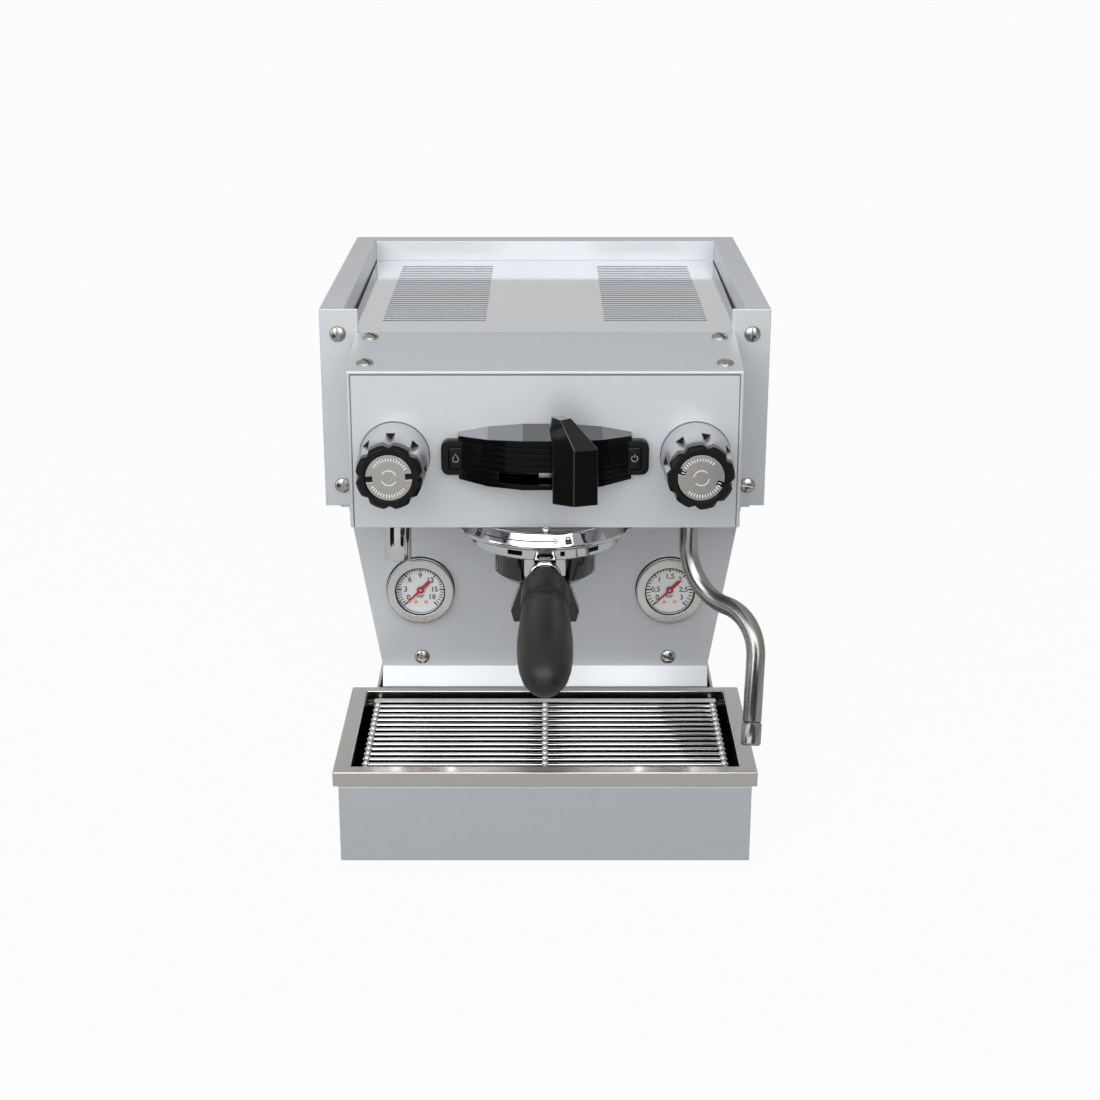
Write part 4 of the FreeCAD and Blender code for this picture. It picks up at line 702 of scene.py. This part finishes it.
lets_by = sum_of(tree, "MAXIMUM", path.outputs["Is Shadow Ray"], path.outputs["Is Diffuse Ray"])
wire(tree, (wiped.outputs[0], haze.inputs[0]), (haze.outputs[0], pane.inputs["Roughness"]),
     (lets_by, blend.inputs[0]), (pane.outputs[0], blend.inputs[1]), (through.outputs[0], blend.inputs[2]),
     (blend.outputs[0], out.inputs[0]))
gauge_z = 138.4
dial_face = 3.5
lowest = -135
figure_bearings = (-125, -90, -45, 0, 45, 90, 125)
stud_of = [(0, 0), (1.35, 0), (1.2, 0.4), (0.7, 0.6), (0, 0.65)]
hub_of = [(0, 0), (0.9, 0), (0.9, 1), (2.6, 1), (2.6, 1.75), (2.3, 2), (0, 2.05)]
cap_of = [(0, 2), (0.9, 2), (0.7, 2.25), (0, 2.3)]
# Three black rings: a gasket at the glass's front, then painted shadow round the dial's edge and painted
# shadow between the case and the backsplash.
seal_and_shadow_rings_of = ([(16.5, 5.9), (17.2, 5.9), (17.2, 6.5), (16.8, 6.6), (16.5, 6.3), (16.5, 5.9)],
            [(16.7, 1.52), (17.7, 1.52), (17.7, 1.75), (16.7, 1.75), (16.7, 1.52)],
            [(22.5, 0.02), (23.6, 0.02), (23.6, 0.4), (22.5, 0.4), (22.5, 0.02)])
# The case's inner wall, lined in white dial paint: a painted highlight for the light that wall catches.
painted_highlight_liner_of = [(16.95, 1.8), (17.6, 1.8), (17.6, 4.4), (16.95, 4.4), (16.95, 1.8)]
# A black ring over the bezel's outer side: painted shade for that wall in shadow.
bezel_shade_ring_of = [(22.3, 6.5), (22.4, 7.06), (22.8, 6.95), (23.16, 6.3), (23.18, 4.8), (22.9, 4.8), (22.3, 6.5)]
for name, x, figures, small in (("coffee", -86, ("0", "3", "6", "9", "12", "15", "18"), 6),
                                ("steam", 86, ("0", "0,5", "1", "1,5", "2", "2,5", "3"), 5)):
    dress(name + "_gauge_case", bezel_steel, 0.9, 4)
    dress(name + "_gauge_dial", dial_paint, 0.2)
    dress(name + "_gauge_lens", gauge_glass, 0.25)
    on_dial = facing(x, dial_face, gauge_z)
    middle = on_dial(0, 0, 0)
    strokes = []
    for k in range(6 * small + 1):
        inner, wide = (12.9, 1.0) if k % small == 0 else (13.5, 0.62)
        bearing = lowest + 270 * k / (6 * small)
        strokes.append(line(spoke(bearing, inner, 16.3), wide, on_dial, 0.05))
    skin(name + "_scale", strokes, dial_ink, "machine")
    words = [(word, 10.2 if len(word) == 1 else 9.6, bearing, 3.5, 0.1)
             for word, bearing in zip(figures, figure_bearings)] + [("bar", 4.6, 180, 2.7, 0.06)]
    for k, (word, radius, bearing, tall, weight) in enumerate(words):
        printed = bpy.data.curves.new("%s_figure_%d" % (name, k), "FONT")
        printed.body = word
        printed.size = tall * 1.5 * mm
        printed.align_x = printed.align_y = "CENTER"
        printed.extrude = 0.03 * mm
        printed.offset = weight * mm
        printed.materials.append(dial_ink)
        figure = bpy.data.objects.new(printed.name, printed)
        figure.location = Vector(on_dial(*spoke(bearing, radius)[0], 0.03)) * mm
        figure.rotation_euler = (math.radians(90), 0, 0)
        scene.collection.objects.link(figure)
        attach(figure, "machine")
    studs = [spun(stud_of, on_dial(a, -8.9, 0), to_front, 20) for a in (-3.6, 3.6)]
    skin(name + "_dial_studs", studs, stud_brass, "machine")
    body = name + "_hand"
    (along_x, along_z), = spoke(lowest, 1)
    hand = []
    for far, half in ((-9, 1.2), (-1.5, 1.2), (2, 0.8), (14.5, 0.34)):
        one, other = [(far * along_x + side * half * along_z, far * along_z - side * half * along_x)
                      for side in (-1, 1)]
        hand.append([on_dial(*one, 1.1), on_dial(*other, 1.1), on_dial(*other, 1.7), on_dial(*one, 1.7)])
    hub = spun(hub_of, middle, to_front, 32)
    skin(name + "_pointer", [hand, hub], needle_paint, body, [name + "_needle"])
    skin(name + "_pointer_cap", [spun(cap_of, middle, to_front, 20)], bezel_steel, body)
    seat = (x, splash_face, gauge_z)
    # One real gasket and two rings of painted shadow.
    seals = [spun(ring, seat, to_front) for ring in seal_and_shadow_rings_of]
    skin(name + "_gauge_seal_and_shadow_rings", seals, satin_black, "machine")
    # Painted highlight: the white liner inside the case.
    skin(name + "_gauge_liner_painted_highlight", [spun(painted_highlight_liner_of, seat, to_front)], dial_paint, "machine")
    # Painted shade: the black ring round the bezel.
    skin(name + "_bezel_shade_ring", [spun(bezel_shade_ring_of, seat, to_front, 96)], satin_black, "machine")

# Brew group: a turned brass casting, polished and chromed, bolted up under the deck. Its bell carries
# the lock signs, and the bayonet ring below it is slotted for the portafilter's lugs.
chrome = finish("polished_chrome", (0.72, 0.725, 0.735), 1.0, 0.07, (1, 1, 1), 300.0, 0.02, 0.01, 0.03,
                30.0)
casting = [(4.05, 252.2), (30, 252.2), (30, 215.6), (53.2, 215.6), (53.9, 215.4), (54.3, 214.9),
           (54.6, 214.35), (57.6, 208.75), (57.9, 208.2), (58.1, 207.2), (57.7, 206.1), (56.6, 205.2),
           (50.4, 204.8), (49.5, 204.3), (49.0, 203.3), (49.0, 197.0), (48.6, 196.1), (47.8, 195.7),
           (36.6, 195.7), (36.6, 198.2), (41.4, 198.2), (41.4, 204.7), (38.5, 204.7), (38.5, 210.5),
           (4.05, 210.5), (4.05, 252.2)]
group_axis = (0, group_y, 0)
skin("group_casting", [spun(casting, group_axis, points=128)], chrome, "machine",
     ["group_head"], crease=40.0)
dress("group_gasket", rubber, 0.4)
dress("shower_screen", steel, 0.3)
# A black disc over the bell's top: painted shade for the top under the panel.
top_shade_of = [(31, 215.62), (31, 215.9), (52.6, 215.9), (52.9, 215.62), (31, 215.62)]
skin("group_top_shade", [spun(top_shade_of, group_axis, points=96)], satin_black, "machine")
bolt_of = [(0, 0), (2.6, 0), (2.6, 1.6), (2.1, 2.3), (1.2, 2.7), (0, 2.8)]
bolt = spun(bolt_of, (0.4, -103.2, 215.6), points=6)
skin("group_stud", [bolt], chrome, "machine", edge=0.25)
sign_z = 211.2


def round_bell(middle, radius, flare=0.0):
    """A place on the group's side, by bearing in degrees from the front: along, up and out."""
    def put(a, b, c):
        angle, far = math.radians(middle) + a / radius, radius - flare * b + c
        return (far * math.sin(angle), group_y - far * math.cos(angle), sign_z + b)
    return put


bell_radius, bell_flare, ring_radius = 56.35, 0.536, 48.95
signs = []
for bearing, shackle, leg in ((-48, 1.4, 1.2), (15, 0.7, 0.6)):
    put = round_bell(bearing, bell_radius, bell_flare)
    signs.append(line([(-2.1, -0.7), (2.1, -0.7)], 2.9, put, 0.25))
    bow = [(-1.35, 0.6)] + [(a, b + shackle) for a, b in arc(1.35, -90, 90, count=10)] + [(1.35, leg)]
    signs.append(line(bow, 0.75, put, 0.25))
put = round_bell(0, bell_radius, bell_flare)
signs.append(line([(math.radians(b) * bell_radius, 0) for b in range(-43, 9, 2)], 0.6, put, 0.2))
signs.append(line([(5.6, 1.5), (8.2, 0), (5.6, -1.5)], 0.65, put, 0.2))
skin("lock_signs", signs, dial_ink, "machine")
# The ring's slots are drawn as gloss black strips on its face: painted shade for their dark insides.
slots = []
for bearing, long in ((-23, 10), (13, 3), (39, 8), (-70, 9), (80, 9)):
    put = round_bell(bearing, ring_radius)
    slots.append(line([(-long / 2 + long * k / 8, -11.1) for k in range(9)], 3.0, put))
skin("ring_slot_shades", slots, gloss_black, "machine")

# Portafilter: a chromed cup with a short drooping neck, a black double-spouted bowl under it, and a
# moulded handle with a waisted collar, screwed on to the neck.
dress("portafilter_body", chrome, 0.5, 3)
dress("filter_basket", steel, 0.2)
dress("spout_block", paddle_black, 2.2, 4)
handle_black = finish("handle_black", (0.013, 0.013, 0.0135), 0.0, 0.42, fine=1300.0, tone=0.12, bump=0.1,
                      smear=0.06, patch=26.0, shine=0.4)
droop = math.radians(8.5)
reach = (0, -math.cos(droop), -math.sin(droop))
root = (0, -113.9, 186.9)
handle_of = [(0, 0.4), (7.6, 0.4), (9.0, 1.0), (11.2, 3.6), (13.2, 7.6), (14.4, 12), (14.8, 17),
             (14.85, 25), (14.75, 32), (14.5, 34.8), (13.7, 35.7), (13.25, 37.5), (13.1, 40.5),
             (13.3, 43.4), (13.8, 44.6), (14.8, 45.8), (15.0, 50), (15.5, 58), (16.2, 68), (16.55, 78),
             (16.6, 86), (16.3, 96), (15.4, 106), (13.6, 115), (11.0, 121.2), (7.6, 125.2), (4.0, 127.0),
             (0, 127.45)]
skin("handle_grip", [spun(handle_of, root, reach)], handle_black, "portafilter",
     ["portafilter_handle"], crease=60.0)
bore, chamfer = 8.3, 0.6
collar = []
for near, far, radius in ((-10.6, -7.6, 9.3), (-6.6, -3.4, 10.3), (-2.4, 0.3, 9.4)):
    ring_of = [(bore, near), (radius - chamfer, near), (radius, near + chamfer), (radius, far - chamfer),
               (radius - chamfer, far), (bore, far), (bore, near)]
    collar.append(spun(ring_of, root, reach, 48))
skin("neck_rings", [collar[0], collar[2]], satin_black, "portafilter")
skin("neck_nut", [collar[1]], chrome, "portafilter")

# Hot-water spout and steam wand: steel tubes, the spout chromed and the wand satin. The spout is fixed
# under the deck, and the wand is bent from one tube, swivels in a socket and ends in a pressed-on tip.
tube_steel = finish("tube_steel", (0.42, 0.41, 0.395), 1.0, 0.25, (1, 1, 12), 300.0, 0.08, 0.03, 0.04, 30.0)
dress("hot_water_spout", chrome, 0.7, 3)
dress("wand_socket", tube_steel, 0.8, 3)
dress("wand_tube", tube_steel, 0.3)
dress("wand_tip", tube_steel, 1.8, 4)

# Drip tray: a welded steel rim over a black moulded tub, with a painted fascia screwed to its front.
# It slides out on the base's floor.
rim_steel = finish("rim_steel", (0.64, 0.62, 0.595), 1.0, 0.17, (30, 1, 30), 40.0, 0.06, 0.03, 0.04, 14.0)
dress("tray_rim", rim_steel, 0.8, 3)
dress("tray_bowl", satin_black, 0.8)
# A darker copy of the silver paint: painted shade for the weaker light at the machine's foot.
fascia_painted_shade = finish("fascia_painted_shade", (0.43, 0.447, 0.465), 0.28, 0.36, fine=1400.0, tone=0.05, bump=0.04,
                      smear=0.03)
dress("tray_fascia", fascia_painted_shade, 0.7, 3)

# Cup grid: bright round rods welded across two runners and a middle one, with a flat bar at the back.
# It lifts out of the tray.
bright_rod = finish("bright_rod", (0.74, 0.735, 0.725), 1.0, 0.14, (1, 30, 30), 60.0, 0.05, 0.03, 0.04,
                    30.0)


def rod(start, end, radius=1.4):
    """A round rod with rounded ends between two points."""
    run = Vector(end) - Vector(start)
    long = run.length
    tip = [(0, 0), (radius * 0.6, radius * 0.2), (radius * 0.9, radius * 0.55), (radius, radius)]
    return spun(tip + [(r, long - far) for r, far in reversed(tip)], start, run.normalized(), 16)


half_rod = 117.5
first_row, rod_pitch, rod_z = -133.5, 7.76, 66.1
runners, runner_z = (-114.5, 0, 114.5), 63.7
rows = [first_row + rod_pitch * k for k in range(14)]
rods = [rod((-half_rod, y, rod_z), (half_rod, y, rod_z)) for y in rows]
rods += [rod((x, -135.2, runner_z), (x, -18.2, runner_z)) for x in runners]
rear_bar = ((-27.6, 64.7), (-21.6, 64.7), (-21.6, 67.5), (-27.6, 67.5))
rods.append([[(x, y, z) for y, z in rear_bar] for x in (-half_rod, half_rod)])
skin("cup_grid", rods, bright_rod, "grid", ["drip_grid"], edge=0.3, crease=50.0)
weld = [(0, -2.2), (1.3, -1.8), (2, -0.9), (2.2, 0), (2, 0.9), (1.3, 1.8), (0, 2.2)]
welds = [spun(weld, (x, y, 66.8), points=14) for x in runners for y in rows]
weld_steel = finish("weld_steel", (0.80, 0.79, 0.78), 0.8, 0.34, fine=600.0, tone=0.06, bump=0.05)
skin("grid_welds", welds, weld_steel, "grid", crease=60.0)

# Inside: brass valves, copper pipes, two steel boilers on saddles, an open water tank, a pump on its
# motor and a box for the electronics. They are closed in, and show only in the gaps beside the apron.
copper = finish("copper_pipe", (0.66, 0.33, 0.20), 1.0, 0.3, (1, 1, 8), 300.0, 0.12, 0.05, 0.08)
boiler_steel = finish("boiler_steel", (0.48, 0.47, 0.46), 1.0, 0.38, (12, 1, 1), 300.0, 0.12, 0.06, 0.06)
tank_shell = finish("tank_plastic", (0.55, 0.58, 0.60), 0.0, 0.35, fine=500.0, tone=0.05, bump=0.05)
for node in ("hot_water_valve", "steam_valve", "pump"):
    dress(node, brass, 0.6)
for node in ("hot_water_pipe", "steam_pipe"):
    dress(node, copper, 0.2)
for node in ("coffee_boiler", "steam_boiler", "boiler_saddles"):
    dress(node, boiler_steel, 0.8)
dress("water_tank", tank_shell, 0.8)
dress("pump_motor", moulded, 1.0)
dress("control_box", moulded, 1.0)
